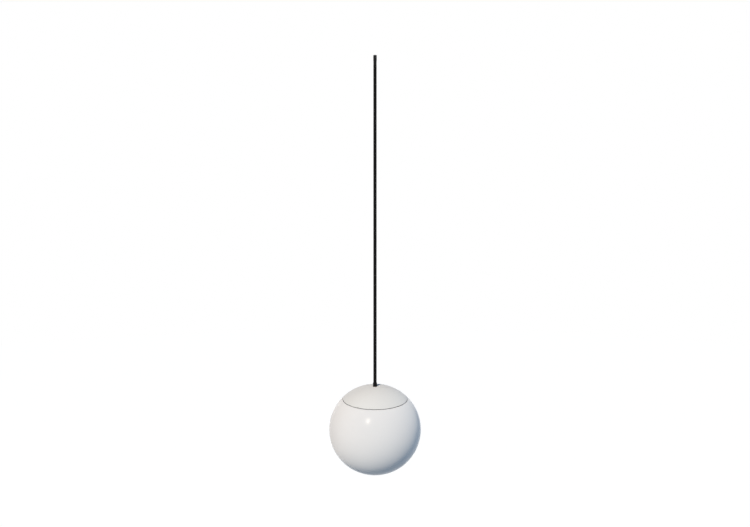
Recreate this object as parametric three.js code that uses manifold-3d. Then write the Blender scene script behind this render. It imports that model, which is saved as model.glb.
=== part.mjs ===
// A pendant lamp: a globe of opal glass under a flush cap, hung on a straight flex.
// Millimetres, +Z up. The origin is the centre of the flat top of the ceiling anchor, and
// everything hangs below it. Inside the lamp, heights are measured from the globe's centre.

import Module from 'manifold-3d';
import * as THREE from 'three';
import { mergeVertices } from 'three/addons/utils/BufferGeometryUtils.js';

// The globe, its cap and the seam between them
const globeDiameter = 200;
const glassWall = 3;
const glassLipReach = 13.2;
const glassLipThickness = 4;
const capWall = 2;
const seamLatitude = THREE.MathUtils.degToRad(44.7);
const seamWidth = 1.1;
const gasketThickness = 1.2;
const gasketLipInset = 0.3; // how far the gasket's lip stays back in the seam

// The flex and its two ends
const hangingDrop = 757; // from the ceiling to the top of the cord grip
const cordDiameter = 7.2;
const anchorDiameter = 7.7;
const swingPivotDepth = 14;
const swingSocketLength = 8;
const beadDiameter = 3;
const gripDiameter = 8.9;
const gripStandOut = 8;
const gripLength = 22;

// The threaded boss under the crown, and what is clamped on it
const bossThreadDiameter = 13;
const bossFlangeDiameter = 26;
const bossFlangeThickness = 2.5;
const bossLength = 26;
const galleryThickness = 1.5;
const washerThickness = 1.2;
const nutAcrossFlats = 19;
const nutThickness = 5;

// The spring clips that hold the glass by its lip
const clipThickness = 0.8;
const clipWidth = 12;
const clipHookReach = 2.4; // how far a hook goes under the lip
const clipSideClearance = 2.6; // between a clip and the edge of the glass opening
const rivetShankDiameter = 3;

// The lampholder
const holderDiameter = 40;
const holderWall = 1.6;
const holderSkirtLength = 34.5;
const holderCapLength = 21;
const threadShellBore = 27.4;
const threadShellWall = 0.6;
const threadShellLength = 23.5;
const coreWireDiameter = 2.2;

// The bulb
const bulbDiameter = 60;
const bulbLength = 105;
const bulbThreadDiameter = 26.2;
const bulbBaseLength = 19.5;
const bulbWall = 1.2;

// The clearance where one piece rests on, or passes through, another
const seatGap = 0.3;

// How finely round surfaces are divided
const largeRoundSides = 48;
const smallRoundSides = 20;
const swivelRoundSides = 16;
const tinyRoundSides = 12;
const cordSides = 12;
const coreWireSides = 8;

// Levels and radii that several pieces share, from the globe's centre
const globeRadius = globeDiameter / 2;
const capInnerRadius = globeRadius - capWall;
const seamHeight = globeRadius * Math.sin(seamLatitude);
const glassRimHeight = seamHeight - seamWidth / 2;
const capRimHeight = seamHeight + seamWidth / 2;
const glassRimRadius = chord(globeRadius, glassRimHeight);
const glassOpeningRadius = glassRimRadius - glassLipReach;
const glassLipUnderside = glassRimHeight - glassLipThickness;

const gasketBottom = glassRimHeight + seatGap;
const gasketTop = gasketBottom + gasketThickness;
const galleryRimBottom = gasketTop + seatGap;
const galleryRimTop = galleryRimBottom + galleryThickness;

const gripTop = globeRadius + gripStandOut;
const gripBore = cordDiameter + 2 * seatGap;
const bossBore = gripDiameter + 2 * seatGap;
const bossTop = chord(capInnerRadius, bossFlangeDiameter / 2) - seatGap;
const bossBottom = bossTop - bossLength;
const galleryHubTop = bossTop - bossFlangeThickness - seatGap;
const galleryHubBottom = galleryHubTop - galleryThickness;
const washerTop = galleryHubBottom - seatGap;
const nutTop = washerTop - washerThickness - seatGap;
const threadClearRadius = bossThreadDiameter / 2 + seatGap;

const clipFace = glassOpeningRadius - clipSideClearance;
const clipFootTop = galleryRimBottom - seatGap;
const clipFootLength = 9.4;
const clipFootInner = clipFace - clipFootLength;
const rivetPlaceShare = 0.43;
const rivetRadius = clipFootInner + clipFootLength * rivetPlaceShare;
const clipAngles = [1 / 4, 7 / 12, 11 / 12].map((turnShare) => turnShare * 2 * Math.PI);

const holderNeckHeight = 6;
const holderNeckWall = 2.7;
const holderShoulderRadius = holderDiameter / 2 - threadClearRadius - holderNeckWall;
const holderShoulderLift = 4;
const holderShoulderTop = bossBottom + holderShoulderLift;
const holderCapBottom = holderShoulderTop - holderCapLength;
const holderSkirtTop = holderCapBottom - seatGap;
const holderSkirtBottom = holderSkirtTop - holderSkirtLength;
const coreThickness = 10;
const coreStandUp = 2;
const coreTop = holderCapBottom + coreStandUp;
const coreBottom = coreTop - coreThickness;
const threadShellTop = coreBottom - seatGap;
const terminalBottom = coreTop + seatGap;
const terminalHeight = 4;
const terminalTop = terminalBottom + terminalHeight;
const terminalRadius = 9;
const terminalLength = 5;
const terminalAngles = [1 / 12, 5 / 12, 3 / 4].map((turnShare) => turnShare * 2 * Math.PI);
const tailStandOut = 3;
const tailBottom = bossBottom - tailStandOut;

const contactSpringThickness = 0.5;
const contactSpringDrop = 2.4;
const bulbTip = threadShellTop - contactSpringDrop - seatGap;
const bulbContactHeight = 1.5;
const bulbInsulatorHeight = 3.2;
const bulbShellTop = bulbTip - bulbContactHeight - bulbInsulatorHeight - 2 * seatGap;
const bulbShellBottom = bulbShellTop - bulbBaseLength;
const bulbBottom = bulbTip - bulbLength;
const bulbHousingHeight = 22;
const bulbHousingBottom = bulbShellBottom - seatGap - bulbHousingHeight;
const bulbRimRadiusShare = 0.9;
const bulbDomeTop = bulbHousingBottom - seatGap;
const bulbRimRadius = (bulbDiameter / 2) * bulbRimRadiusShare;

// Half the chord of a circle, from its radius and the chord's distance from the centre
function chord(radius, distance) {
  return Math.sqrt(radius ** 2 - distance ** 2);
}

function point(radius, height) {
  return new THREE.Vector2(radius, height);
}

// Points along an arc of an ellipse, from one angle to another, centred at a height
function arc(centre, reach, rise, from, to, steps) {
  const points = [];
  for (let step = 0; step <= steps; step += 1) {
    const angle = from + ((to - from) * step) / steps;
    points.push(point(centre.x + reach * Math.cos(angle), centre.y + rise * Math.sin(angle)));
  }
  return points;
}

function sphereArc(radius, from, to, steps) {
  return arc(point(0, 0), radius, radius, from, to, steps);
}

// A piece turned about the Z axis. Its profile ends on the axis, or is closed here.
function turned(profile, sides) {
  const first = profile[0];
  const last = profile[profile.length - 1];
  const meetsAxis = Math.abs(first.x) + Math.abs(last.x) === 0;
  const closed = meetsAxis ? [...profile] : [...profile, first.clone()];
  if (THREE.ShapeUtils.area(closed) < 0) {
    closed.reverse();
  }
  return new THREE.LatheGeometry(closed, sides).rotateX(Math.PI / 2);
}

function ring(innerRadius, outerRadius, bottom, top, sides) {
  const profile = [
    point(innerRadius, bottom),
    point(outerRadius, bottom),
    point(outerRadius, top),
    point(innerRadius, top),
  ];
  return turned(profile, sides);
}

function disc(radius, bottom, top, sides) {
  return turned([point(0, bottom), point(radius, bottom), point(radius, top), point(0, top)], sides);
}

// A flat outline in the plane of radius and height, given a width across that plane
function upright(outline, width) {
  const options = { depth: width, bevelEnabled: false };
  const geometry = new THREE.ExtrudeGeometry(new THREE.Shape(outline), options);
  return geometry.translate(0, 0, -width / 2).rotateX(Math.PI / 2);
}

// The outline of a bent strip: down the points of one face and back along the other
function stripOutline(points, thickness) {
  const sideways = points.slice(1).map((next, i) => {
    const along = next.clone().sub(points[i]).normalize();
    return point(-along.y, along.x);
  });
  const farFace = points.map((corner, i) => {
    const before = sideways[Math.max(i - 1, 0)];
    const after = sideways[Math.min(i, sideways.length - 1)];
    const mitre = before.clone().add(after).divideScalar(1 + before.dot(after));
    return corner.clone().addScaledVector(mitre, thickness);
  });
  return [...points, ...farFace.reverse()];
}

// A round rod along a curve
function rod(curve, diameter, sides, steps) {
  const section = arc(point(0, 0), diameter / 2, diameter / 2, 0, 2 * Math.PI, sides);
  const shape = new THREE.Shape(section.slice(0, -1));
  return new THREE.ExtrudeGeometry(shape, { extrudePath: curve, steps });
}

// Cutting, done on closed solids whose shared vertices are merged
const wasm = await Module();
wasm.setup();
const weldDistance = 0.0005;
const cutOverrun = 2;

function toSolid(geometry) {
  const bare = geometry.clone();
  bare.deleteAttribute('normal');
  bare.deleteAttribute('uv');
  const merged = mergeVertices(bare, weldDistance);
  const corners = merged.index.array;
  const triangles = [];
  for (let i = 0; i < corners.length; i += 3) {
    const triangle = corners.slice(i, i + 3);
    if (new Set(triangle).size === 3) {
      triangles.push(...triangle);
    }
  }
  const mesh = new wasm.Mesh({
    numProp: 3,
    vertProperties: new Float32Array(merged.attributes.position.array),
    triVerts: new Uint32Array(triangles),
  });
  return new wasm.Manifold(mesh);
}

function cutFrom(geometry, cutters) {
  let solid = toSolid(geometry);
  for (const cutter of cutters) {
    solid = solid.subtract(toSolid(cutter));
  }
  const mesh = solid.getMesh();
  const result = new THREE.BufferGeometry();
  result.setAttribute('position', new THREE.BufferAttribute(mesh.vertProperties, 3));
  result.setIndex(new THREE.BufferAttribute(mesh.triVerts, 1));
  result.computeVertexNormals();
  return result;
}

// The ceiling anchor: a slim steel end with a flat top, a round seat below for the cord's
// end, and a pin down the middle of the seat that carries the bead
const swingSocketRadius = cordDiameter / 2;
const swingSeatRadius = swingSocketRadius + seatGap;
const beadRadius = beadDiameter / 2;

function ceilingAnchor() {
  const seatDepthShare = 0.42;
  const seatRimAngle = Math.asin(seatDepthShare);
  const pinRadius = 0.5;
  const pinEndHeight = beadRadius + seatGap;
  const pinRootAngle = Math.acos(pinRadius / swingSeatRadius);
  const seat = sphereArc(swingSeatRadius, seatRimAngle, pinRootAngle, 5);
  const profile = [
    point(0, swingPivotDepth),
    point(anchorDiameter / 2, swingPivotDepth),
    point(anchorDiameter / 2, seat[0].y),
    ...seat,
    point(pinRadius, pinEndHeight),
    point(0, pinEndHeight),
  ];
  return turned(profile, swivelRoundSides);
}

function anchorBead() {
  return turned(sphereArc(beadRadius, -Math.PI / 2, Math.PI / 2, 8), swivelRoundSides);
}

// The socket crimped on the cord's end: it closes round the bead, and its mouth is a cone
// wide enough for the pin at both limits of the swing
function swingSocket() {
  const mouthHalfAngle = THREE.MathUtils.degToRad(46.5);
  const mouthAngle = Math.PI / 2 - mouthHalfAngle;
  const hollow = sphereArc(beadRadius + seatGap, -Math.PI / 2, mouthAngle, 8);
  const outside = sphereArc(swingSocketRadius, mouthAngle, 0, 4);
  const profile = [
    ...hollow,
    ...outside,
    point(swingSocketRadius, -swingSocketLength),
    point(0, -swingSocketLength),
  ];
  profile[0].x = 0;
  return turned(profile, swivelRoundSides);
}

// The free stretch of the cord, from the swing socket to the top of the grip
const globeCentre = -(hangingDrop + gripTop);
const cordPoints = [
  new THREE.Vector3(0, 0, -(swingPivotDepth + swingSocketLength + seatGap)),
  new THREE.Vector3(0, 0, -(hangingDrop - seatGap)),
];

function pendantCord() {
  const diametersPerStep = 2.5;
  const curve = new THREE.LineCurve3(...cordPoints);
  const steps = Math.round(curve.getLength() / (diametersPerStep * cordDiameter));
  return rod(curve, cordDiameter, cordSides, steps);
}

// The cord grip stands out of the crown and reaches down inside the boss
function cordGrip() {
  const bottom = gripTop - gripLength;
  return ring(gripBore / 2, gripDiameter / 2, bottom, gripTop, smallRoundSides);
}

// The end of the cord's sheath, inside the grip and the boss
function cordTail() {
  return disc(cordDiameter / 2, tailBottom, gripTop, cordSides);
}

// The cap: the top of the sphere, spun from sheet, with a hole for the grip
function capShell() {
  const holeRadius = gripDiameter / 2 + seatGap;
  const outside = sphereArc(
    globeRadius,
    Math.acos(holeRadius / globeRadius),
    Math.asin(capRimHeight / globeRadius),
    6,
  );
  const inside = sphereArc(
    capInnerRadius,
    Math.asin(capRimHeight / capInnerRadius),
    Math.acos(holeRadius / capInnerRadius),
    5,
  );
  return turned([...outside, ...inside], largeRoundSides);
}

// The boss: a flange under the crown and a hollow thread below it
function crownBoss() {
  const flangeBottom = bossTop - bossFlangeThickness;
  const profile = [
    point(bossBore / 2, bossBottom),
    point(bossThreadDiameter / 2, bossBottom),
    point(bossThreadDiameter / 2, flangeBottom),
    point(bossFlangeDiameter / 2, flangeBottom),
    point(bossFlangeDiameter / 2, bossTop),
    point(bossBore / 2, bossTop),
  ];
  return turned(profile, smallRoundSides);
}

// The gallery: a hub on the boss, three sloping arms and a flat rim over the glass, pressed
// from one sheet. The windows leave the arms, and the rim is pierced for the rivets.
const galleryHubMargin = 3;
const gallerySlopeInner = bossFlangeDiameter / 2 + galleryHubMargin;

function galleryOutside() {
  return chord(capInnerRadius, galleryRimTop) - seatGap;
}

function galleryWindow() {
  const windowMargin = 4;
  const windowInner = gallerySlopeInner + windowMargin;
  const windowOuter = clipFootInner - windowMargin;
  const halfAngle = THREE.MathUtils.degToRad(38);
  const outer = arc(point(0, 0), windowOuter, windowOuter, -halfAngle, halfAngle, 8);
  const inner = arc(point(0, 0), windowInner, windowInner, halfAngle, -halfAngle, 5);
  const height = galleryHubTop - galleryRimBottom + 2 * cutOverrun;
  const options = { depth: height, bevelEnabled: false };
  const geometry = new THREE.ExtrudeGeometry(new THREE.Shape([...outer, ...inner]), options);
  return geometry.translate(0, 0, galleryRimBottom - cutOverrun);
}

function rivetHole() {
  const radius = rivetShankDiameter / 2 + seatGap;
  const height = galleryThickness + clipThickness + seatGap + 2 * cutOverrun;
  const hole = new THREE.CylinderGeometry(radius, radius, height, tinyRoundSides);
  hole.rotateX(Math.PI / 2);
  return hole.translate(rivetRadius, 0, galleryRimBottom);
}

function gallerySpider() {
  const profile = [
    point(threadClearRadius, galleryHubTop),
    point(gallerySlopeInner, galleryHubTop),
    point(clipFootInner, galleryRimTop),
    point(galleryOutside(), galleryRimTop),
    point(galleryOutside(), galleryRimBottom),
    point(clipFootInner, galleryRimBottom),
    point(gallerySlopeInner, galleryHubBottom),
    point(threadClearRadius, galleryHubBottom),
  ];
  const cutters = clipAngles.flatMap((angle) => [
    rivetHole().rotateZ(angle),
    galleryWindow().rotateZ(angle + Math.PI),
  ]);
  return cutFrom(turned(profile, largeRoundSides), cutters);
}

function lockWasher() {
  const outerRadius = nutAcrossFlats / 2;
  return ring(threadClearRadius, outerRadius, washerTop - washerThickness, washerTop, smallRoundSides);
}

function lockNut() {
  const cornerRadius = nutAcrossFlats / Math.sqrt(3);
  const outline = new THREE.Shape(arc(point(0, 0), cornerRadius, cornerRadius, 0, 2 * Math.PI, 6));
  outline.holes.push(new THREE.Path().absarc(0, 0, threadClearRadius, 0, 2 * Math.PI));
  const options = { depth: nutThickness, bevelEnabled: false, curveSegments: smallRoundSides };
  return new THREE.ExtrudeGeometry(outline, options).translate(0, 0, nutTop - nutThickness);
}

// A glass clip: a spring strip with a foot under the gallery, a leg down through the glass
// opening, a hook under the lip and a tail that leads the lip in
function glassClip() {
  const hookTop = glassLipUnderside - seatGap;
  const hookTip = glassOpeningRadius + clipHookReach;
  const tailReach = 5.5;
  const tailDrop = 7;
  const outerFace = [
    point(hookTip - tailReach, hookTop - tailDrop),
    point(hookTip, hookTop),
    point(clipFace, hookTop),
    point(clipFace, clipFootTop),
    point(clipFootInner, clipFootTop),
  ];
  const strip = upright(stripOutline(outerFace, clipThickness), clipWidth);
  return cutFrom(strip, [rivetHole()]);
}

function clipRivet() {
  const shankRadius = rivetShankDiameter / 2;
  const headRadiusShare = 1.8;
  const headRiseShare = 0.9;
  const tailRiseShare = 0.45;
  const headRadius = shankRadius * headRadiusShare;
  const headRise = shankRadius * headRiseShare;
  const tailRise = shankRadius * tailRiseShare;
  const headBase = galleryRimTop + seatGap;
  const tailBase = clipFootTop - clipThickness - seatGap;
  const profile = [
    ...arc(point(0, headBase), headRadius, headRise, Math.PI / 2, 0, 4),
    point(shankRadius, headBase),
    point(shankRadius, tailBase),
    ...arc(point(0, tailBase), headRadius, -tailRise, 0, Math.PI / 2, 3),
  ];
  profile[0].x = 0;
  profile[profile.length - 1].x = 0;
  return turned(profile, tinyRoundSides);
}

// The gasket lies on the glass rim inside the cap, and its lip comes out to fill the seam
function rimGasket() {
  const innerRadius = glassOpeningRadius + seatGap;
  const bodyRadius = chord(capInnerRadius, gasketTop) - seatGap;
  const lipTop = capRimHeight - seatGap;
  const lipRadius = globeRadius - gasketLipInset;
  const profile = [
    point(innerRadius, gasketBottom),
    point(chord(lipRadius, gasketBottom), gasketBottom),
    point(chord(lipRadius, lipTop), lipTop),
    point(bodyRadius, lipTop),
    point(bodyRadius, gasketTop),
    point(innerRadius, gasketTop),
  ];
  return turned(profile, largeRoundSides);
}

// The lampholder's metal cap: a neck on the boss thread and a rounded shoulder
const holderRadius = holderDiameter / 2;
const holderBore = holderRadius - holderWall;
const neckOuterRadius = threadClearRadius + holderNeckWall;
const neckScrewDiameter = 2.8;
const neckScrewHeight = holderShoulderTop + holderNeckHeight / 2;

function holderCap() {
  const shoulderCentre = point(neckOuterRadius, holderShoulderTop - holderShoulderRadius);
  const innerShoulder = holderShoulderRadius - holderWall;
  const profile = [
    point(threadClearRadius, holderShoulderTop + holderNeckHeight),
    point(neckOuterRadius, holderShoulderTop + holderNeckHeight),
    ...arc(shoulderCentre, holderShoulderRadius, holderShoulderRadius, Math.PI / 2, 0, 6),
    point(holderRadius, holderCapBottom),
    point(holderBore, holderCapBottom),
    ...arc(shoulderCentre, innerShoulder, innerShoulder, 0, Math.PI / 2, 6),
    point(threadClearRadius, holderShoulderTop - holderWall),
  ];
  const holeRadius = neckScrewDiameter / 2 + seatGap;
  const holeLength = holderNeckWall + 2 * cutOverrun;
  const hole = new THREE.CylinderGeometry(holeRadius, holeRadius, holeLength, tinyRoundSides);
  hole.rotateZ(Math.PI / 2);
  hole.translate(threadClearRadius + holderNeckWall / 2, 0, neckScrewHeight);
  return cutFrom(turned(profile, smallRoundSides), [hole]);
}

// The grub screw that locks the lampholder on the boss thread
function neckScrew() {
  const radius = neckScrewDiameter / 2;
  const screw = disc(radius, threadClearRadius, neckOuterRadius, tinyRoundSides);
  return screw.rotateY(Math.PI / 2);
}

// The insulating skirt: a spigot that screws up into the cap, a shelf under the core, and
// a lip below that stops short of the bulb
const spigotOuterRadius = holderBore - seatGap;
const spigotInnerRadius = spigotOuterRadius - holderWall;

function holderSkirt() {
  const spigotHeight = 5;
  const shelfTop = coreBottom - seatGap;
  const lipRadius = threadShellBore / 2 + threadShellWall + 2 * seatGap;
  const profile = [
    point(spigotInnerRadius, holderSkirtTop + spigotHeight),
    point(spigotOuterRadius, holderSkirtTop + spigotHeight),
    point(spigotOuterRadius, holderSkirtTop),
    point(holderRadius, holderSkirtTop),
    point(holderRadius, holderSkirtBottom),
    point(lipRadius, holderSkirtBottom),
    point(lipRadius, holderSkirtBottom + holderWall),
    point(holderBore, holderSkirtBottom + holderWall),
    point(holderBore, shelfTop - holderWall),
    point(lipRadius, shelfTop - holderWall),
    point(lipRadius, shelfTop),
    point(spigotInnerRadius, shelfTop),
  ];
  return turned(profile, smallRoundSides);
}

// The ceramic core carries the terminals above and the thread shell below
function holderCore() {
  return disc(spigotInnerRadius - seatGap, coreBottom, coreTop, smallRoundSides);
}

function threadShell() {
  const innerRadius = threadShellBore / 2;
  const outerRadius = innerRadius + threadShellWall;
  const crownRadiusShare = 0.6;
  const crownRadius = innerRadius * crownRadiusShare;
  const profile = [
    point(crownRadius, threadShellTop),
    point(outerRadius, threadShellTop),
    point(outerRadius, threadShellTop - threadShellLength),
    point(innerRadius, threadShellTop - threadShellLength),
    point(innerRadius, threadShellTop - threadShellWall),
    point(crownRadius, threadShellTop - threadShellWall),
  ];
  return turned(profile, smallRoundSides);
}

// The spring tongue that presses on the bulb's contact
function centreContact() {
  const footReach = 7;
  const footLength = 4;
  const tipReach = 2;
  const tongueWidth = 5;
  const tipTop = threadShellTop - contactSpringDrop + contactSpringThickness;
  const upperFace = [
    point(tipReach, tipTop),
    point(-tipReach, tipTop),
    point(footLength - footReach, threadShellTop),
    point(-footReach, threadShellTop),
  ];
  return upright(stripOutline(upperFace, contactSpringThickness), tongueWidth);
}

// A terminal stands on the core with its screw facing outwards
const terminalWidth = 5;
const terminalScrewShank = 2.4;

function terminalScrewHole() {
  const radius = terminalScrewShank / 2 + seatGap;
  const length = terminalLength + cutOverrun;
  const hole = new THREE.CylinderGeometry(radius, radius, length, tinyRoundSides);
  hole.rotateZ(Math.PI / 2);
  const height = terminalBottom + terminalHeight / 2;
  return hole.translate(terminalRadius + terminalLength / 2, 0, height);
}

function terminal() {
  const block = new THREE.BoxGeometry(terminalLength, terminalWidth, terminalHeight);
  block.translate(terminalRadius, 0, terminalBottom + terminalHeight / 2);
  return cutFrom(block, [terminalScrewHole()]);
}

function terminalScrew() {
  const headRadiusShare = 1.7;
  const headHeightShare = 1.5;
  const shankLengthShare = 0.4;
  const shankRadius = terminalScrewShank / 2;
  const headRadius = shankRadius * headRadiusShare;
  const headHeight = shankRadius * headHeightShare;
  const shankLength = terminalLength * shankLengthShare;
  const profile = [
    point(0, -shankLength),
    point(shankRadius, -shankLength),
    point(shankRadius, seatGap),
    point(headRadius, seatGap),
    point(headRadius, seatGap + headHeight),
    point(0, seatGap + headHeight),
  ];
  const screw = turned(profile, tinyRoundSides).rotateY(Math.PI / 2);
  return screw.translate(terminalRadius + terminalLength / 2, 0, 0);
}

// An insulated core: out of the sheath, across and down on to its terminal
function coreWire() {
  const placeInSheathShare = 0.25;
  const placeInSheath = cordDiameter * placeInSheathShare;
  const top = tailBottom - seatGap;
  const bottom = terminalTop + seatGap;
  const fall = top - bottom;
  const route = new THREE.CubicBezierCurve3(
    new THREE.Vector3(placeInSheath, 0, top),
    new THREE.Vector3(placeInSheath, 0, top - fall / 2),
    new THREE.Vector3(terminalRadius, 0, bottom + fall / 2),
    new THREE.Vector3(terminalRadius, 0, bottom),
  );
  return rod(route, coreWireDiameter, coreWireSides, 8);
}

// The globe: a blown sphere cut off at the seam, its rim turned in to a flat lip
function opalGlobe() {
  const innerRadius = globeRadius - glassWall;
  const innerRimAngle = Math.asin(glassLipUnderside / innerRadius);
  const outside = sphereArc(globeRadius, -Math.PI / 2, Math.asin(glassRimHeight / globeRadius), 15);
  const inside = sphereArc(innerRadius, innerRimAngle, -Math.PI / 2, 12);
  const profile = [
    ...outside,
    point(glassOpeningRadius, glassRimHeight),
    point(glassOpeningRadius, glassLipUnderside),
    ...inside,
  ];
  profile[0].x = 0;
  profile[profile.length - 1].x = 0;
  return turned(profile, largeRoundSides);
}

// The bulb's contact, insulator and screw shell
const bulbThreadRadius = bulbThreadDiameter / 2;

function bulbContact() {
  const radiusShare = 0.36;
  const radius = bulbThreadRadius * radiusShare;
  return disc(radius, bulbTip - bulbContactHeight, bulbTip, smallRoundSides);
}

function bulbInsulator() {
  const top = bulbTip - bulbContactHeight - seatGap;
  const bottom = top - bulbInsulatorHeight;
  const topRadiusShare = 0.4;
  const bottomRadiusShare = 0.88;
  const topRadius = bulbThreadRadius * topRadiusShare;
  const bottomRadius = bulbThreadRadius * bottomRadiusShare;
  const profile = [
    point(0, bottom),
    point(bottomRadius, bottom),
    point(topRadius, top),
    point(0, top),
  ];
  return turned(profile, smallRoundSides);
}

function bulbScrewShell() {
  const wall = 0.5;
  const ridgeDepth = 0.9;
  const ridges = 5;
  const stepsPerRidge = 2;
  const crestRadius = bulbThreadRadius;
  const outside = [];
  for (let step = 0; step <= ridges * stepsPerRidge; step += 1) {
    const wave = (1 - Math.cos((2 * Math.PI * step) / stepsPerRidge)) / 2;
    const height = bulbShellTop - (bulbBaseLength * step) / (ridges * stepsPerRidge);
    outside.push(point(crestRadius - ridgeDepth * (1 - wave), height));
  }
  const inside = outside.map((corner) => point(corner.x - wall, corner.y)).reverse();
  return turned([...outside, ...inside], smallRoundSides);
}

// The housing flares from the collar to the dome, with a stem that fills the screw shell
const bulbStemClearance = 1.7;
const bulbHousingWall = 1.8;
const bulbHousingTop = bulbShellBottom - seatGap;

function housingFlare(topRadius, bottomRadius, top, bottom) {
  const steps = 8;
  const points = [];
  for (let step = 0; step <= steps; step += 1) {
    const flareShare = (1 - Math.cos((Math.PI * step) / steps)) / 2;
    const radius = THREE.MathUtils.lerp(topRadius, bottomRadius, flareShare);
    points.push(point(radius, THREE.MathUtils.lerp(top, bottom, step / steps)));
  }
  return points;
}

function bulbHousing() {
  const stemHeightShare = 2 / 3;
  const stemRadius = bulbThreadRadius - bulbStemClearance;
  const stemTop = bulbHousingTop + bulbBaseLength * stemHeightShare;
  const boreRadius = stemRadius - bulbHousingWall;
  const collarRadius = bulbThreadRadius + seatGap;
  const innerRim = bulbRimRadius - bulbHousingWall;
  const flareTop = bulbHousingTop - bulbHousingWall;
  const profile = [
    point(boreRadius, stemTop),
    point(stemRadius, stemTop),
    point(stemRadius, bulbHousingTop),
    ...housingFlare(collarRadius, bulbRimRadius, bulbHousingTop, bulbHousingBottom),
    ...housingFlare(boreRadius, innerRim, flareTop, bulbHousingBottom).reverse(),
  ];
  return turned(profile, smallRoundSides);
}

// The board that holds the light-emitting diodes is seated on the rim of the housing
const bulbRimInnerRadius = (bulbDiameter / 2 - bulbWall) * bulbRimRadiusShare;

function bulbBoard() {
  const thickness = 1.6;
  const radius = bulbRimInnerRadius - seatGap;
  return disc(radius, bulbDomeTop - thickness, bulbDomeTop, smallRoundSides);
}

function bulbDome() {
  const widest = bulbDiameter / 2;
  const centreHeight = bulbBottom + widest;
  const rimAngle = Math.acos(bulbRimRadiusShare);
  const upperRise = (bulbDomeTop - centreHeight) / Math.sin(rimAngle);
  const centre = point(0, centreHeight);
  const inner = widest - bulbWall;
  const profile = [
    ...arc(centre, widest, widest, -Math.PI / 2, 0, 8),
    ...arc(centre, widest, upperRise, 0, rimAngle, 3).slice(1),
    ...arc(centre, inner, upperRise, rimAngle, 0, 3),
    ...arc(centre, inner, inner, 0, -Math.PI / 2, 8).slice(1),
  ];
  profile[0].x = 0;
  profile[profile.length - 1].x = 0;
  return turned(profile, smallRoundSides);
}

// The assembly
function finish(color, roughness, metalness) {
  return new THREE.MeshStandardMaterial({ color, roughness, metalness });
}

const black = 0x1c1c1d;
const warmWhite = 0xe9e6e1;
const opalWhite = 0xf0efed;
const steel = 0xb9bbbd;
const brass = 0xc9a24e;
const ceramic = 0xe4e0d6;
const brown = 0x5d3a22;
const blue = 0x2f5fa8;
const greenYellow = 0x8fae2c;

const lamp = new THREE.Group();
const inside = new THREE.Group();
inside.position.z = globeCentre;
const bulb = new THREE.Group();
inside.add(bulb);
lamp.add(inside);

function add(parent, name, geometry, material) {
  const mesh = new THREE.Mesh(geometry, material);
  mesh.name = name;
  parent.add(mesh);
  return mesh;
}

const swing = new THREE.Group();
swing.position.z = -swingPivotDepth;
lamp.add(swing);
add(swing, 'ceiling_anchor', ceilingAnchor(), finish(black, 0.5, 0.6));
add(swing, 'anchor_bead', anchorBead(), finish(steel, 0.3, 1));
add(swing, 'swing_socket', swingSocket(), finish(black, 0.5, 0.6));
add(lamp, 'pendant_cord', pendantCord(), finish(black, 0.75, 0));

add(inside, 'cord_grip', cordGrip(), finish(black, 0.55, 0));
add(inside, 'cord_tail', cordTail(), finish(black, 0.75, 0));
add(inside, 'cap_shell', capShell(), finish(warmWhite, 0.7, 0));
add(inside, 'crown_boss', crownBoss(), finish(steel, 0.35, 1));
add(inside, 'gallery_spider', gallerySpider(), finish(steel, 0.45, 1));
add(inside, 'lock_washer', lockWasher(), finish(steel, 0.4, 1));
add(inside, 'lock_nut', lockNut(), finish(brass, 0.35, 1));

clipAngles.forEach((angle, i) => {
  const clip = add(inside, `glass_clip_${i + 1}`, glassClip(), finish(steel, 0.3, 1));
  clip.rotation.z = angle;
  const rivet = add(inside, `clip_rivet_${i + 1}`, clipRivet(), finish(steel, 0.4, 1));
  rivet.position.set(rivetRadius * Math.cos(angle), rivetRadius * Math.sin(angle), 0);
});
add(inside, 'rim_gasket', rimGasket(), finish(0x3a3937, 0.85, 0));

add(inside, 'holder_cap', holderCap(), finish(steel, 0.4, 1));
const grub = add(inside, 'holder_neck_screw', neckScrew(), finish(steel, 0.4, 1));
grub.position.z = neckScrewHeight;
add(inside, 'holder_skirt', holderSkirt(), finish(black, 0.5, 0));
add(inside, 'holder_core', holderCore(), finish(ceramic, 0.6, 0));
add(inside, 'holder_thread_shell', threadShell(), finish(brass, 0.4, 1));
add(inside, 'centre_contact', centreContact(), finish(brass, 0.35, 1));

const wires = [
  ['live', brown],
  ['neutral', blue],
  ['earth', greenYellow],
];
wires.forEach(([use, colour], i) => {
  const angle = terminalAngles[i];
  const block = add(inside, `${use}_terminal`, terminal(), finish(brass, 0.4, 1));
  const screw = add(inside, `${use}_terminal_screw`, terminalScrew(), finish(steel, 0.4, 1));
  const wire = add(inside, `${use}_core`, coreWire(), finish(colour, 0.6, 0));
  screw.position.z = terminalBottom + terminalHeight / 2;
  for (const piece of [block, screw, wire]) {
    piece.rotation.z = angle;
  }
});

add(inside, 'opal_globe', opalGlobe(), finish(opalWhite, 0.35, 0));
add(bulb, 'bulb_contact', bulbContact(), finish(steel, 0.35, 1));
add(bulb, 'bulb_insulator', bulbInsulator(), finish(black, 0.3, 0));
add(bulb, 'bulb_screw_shell', bulbScrewShell(), finish(steel, 0.3, 1));
add(bulb, 'bulb_housing', bulbHousing(), finish(opalWhite, 0.5, 0));
add(bulb, 'bulb_board', bulbBoard(), finish(opalWhite, 0.5, 0));
add(bulb, 'bulb_dome', bulbDome(), finish(opalWhite, 0.45, 0));

export default lamp;
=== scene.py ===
import math

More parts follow.
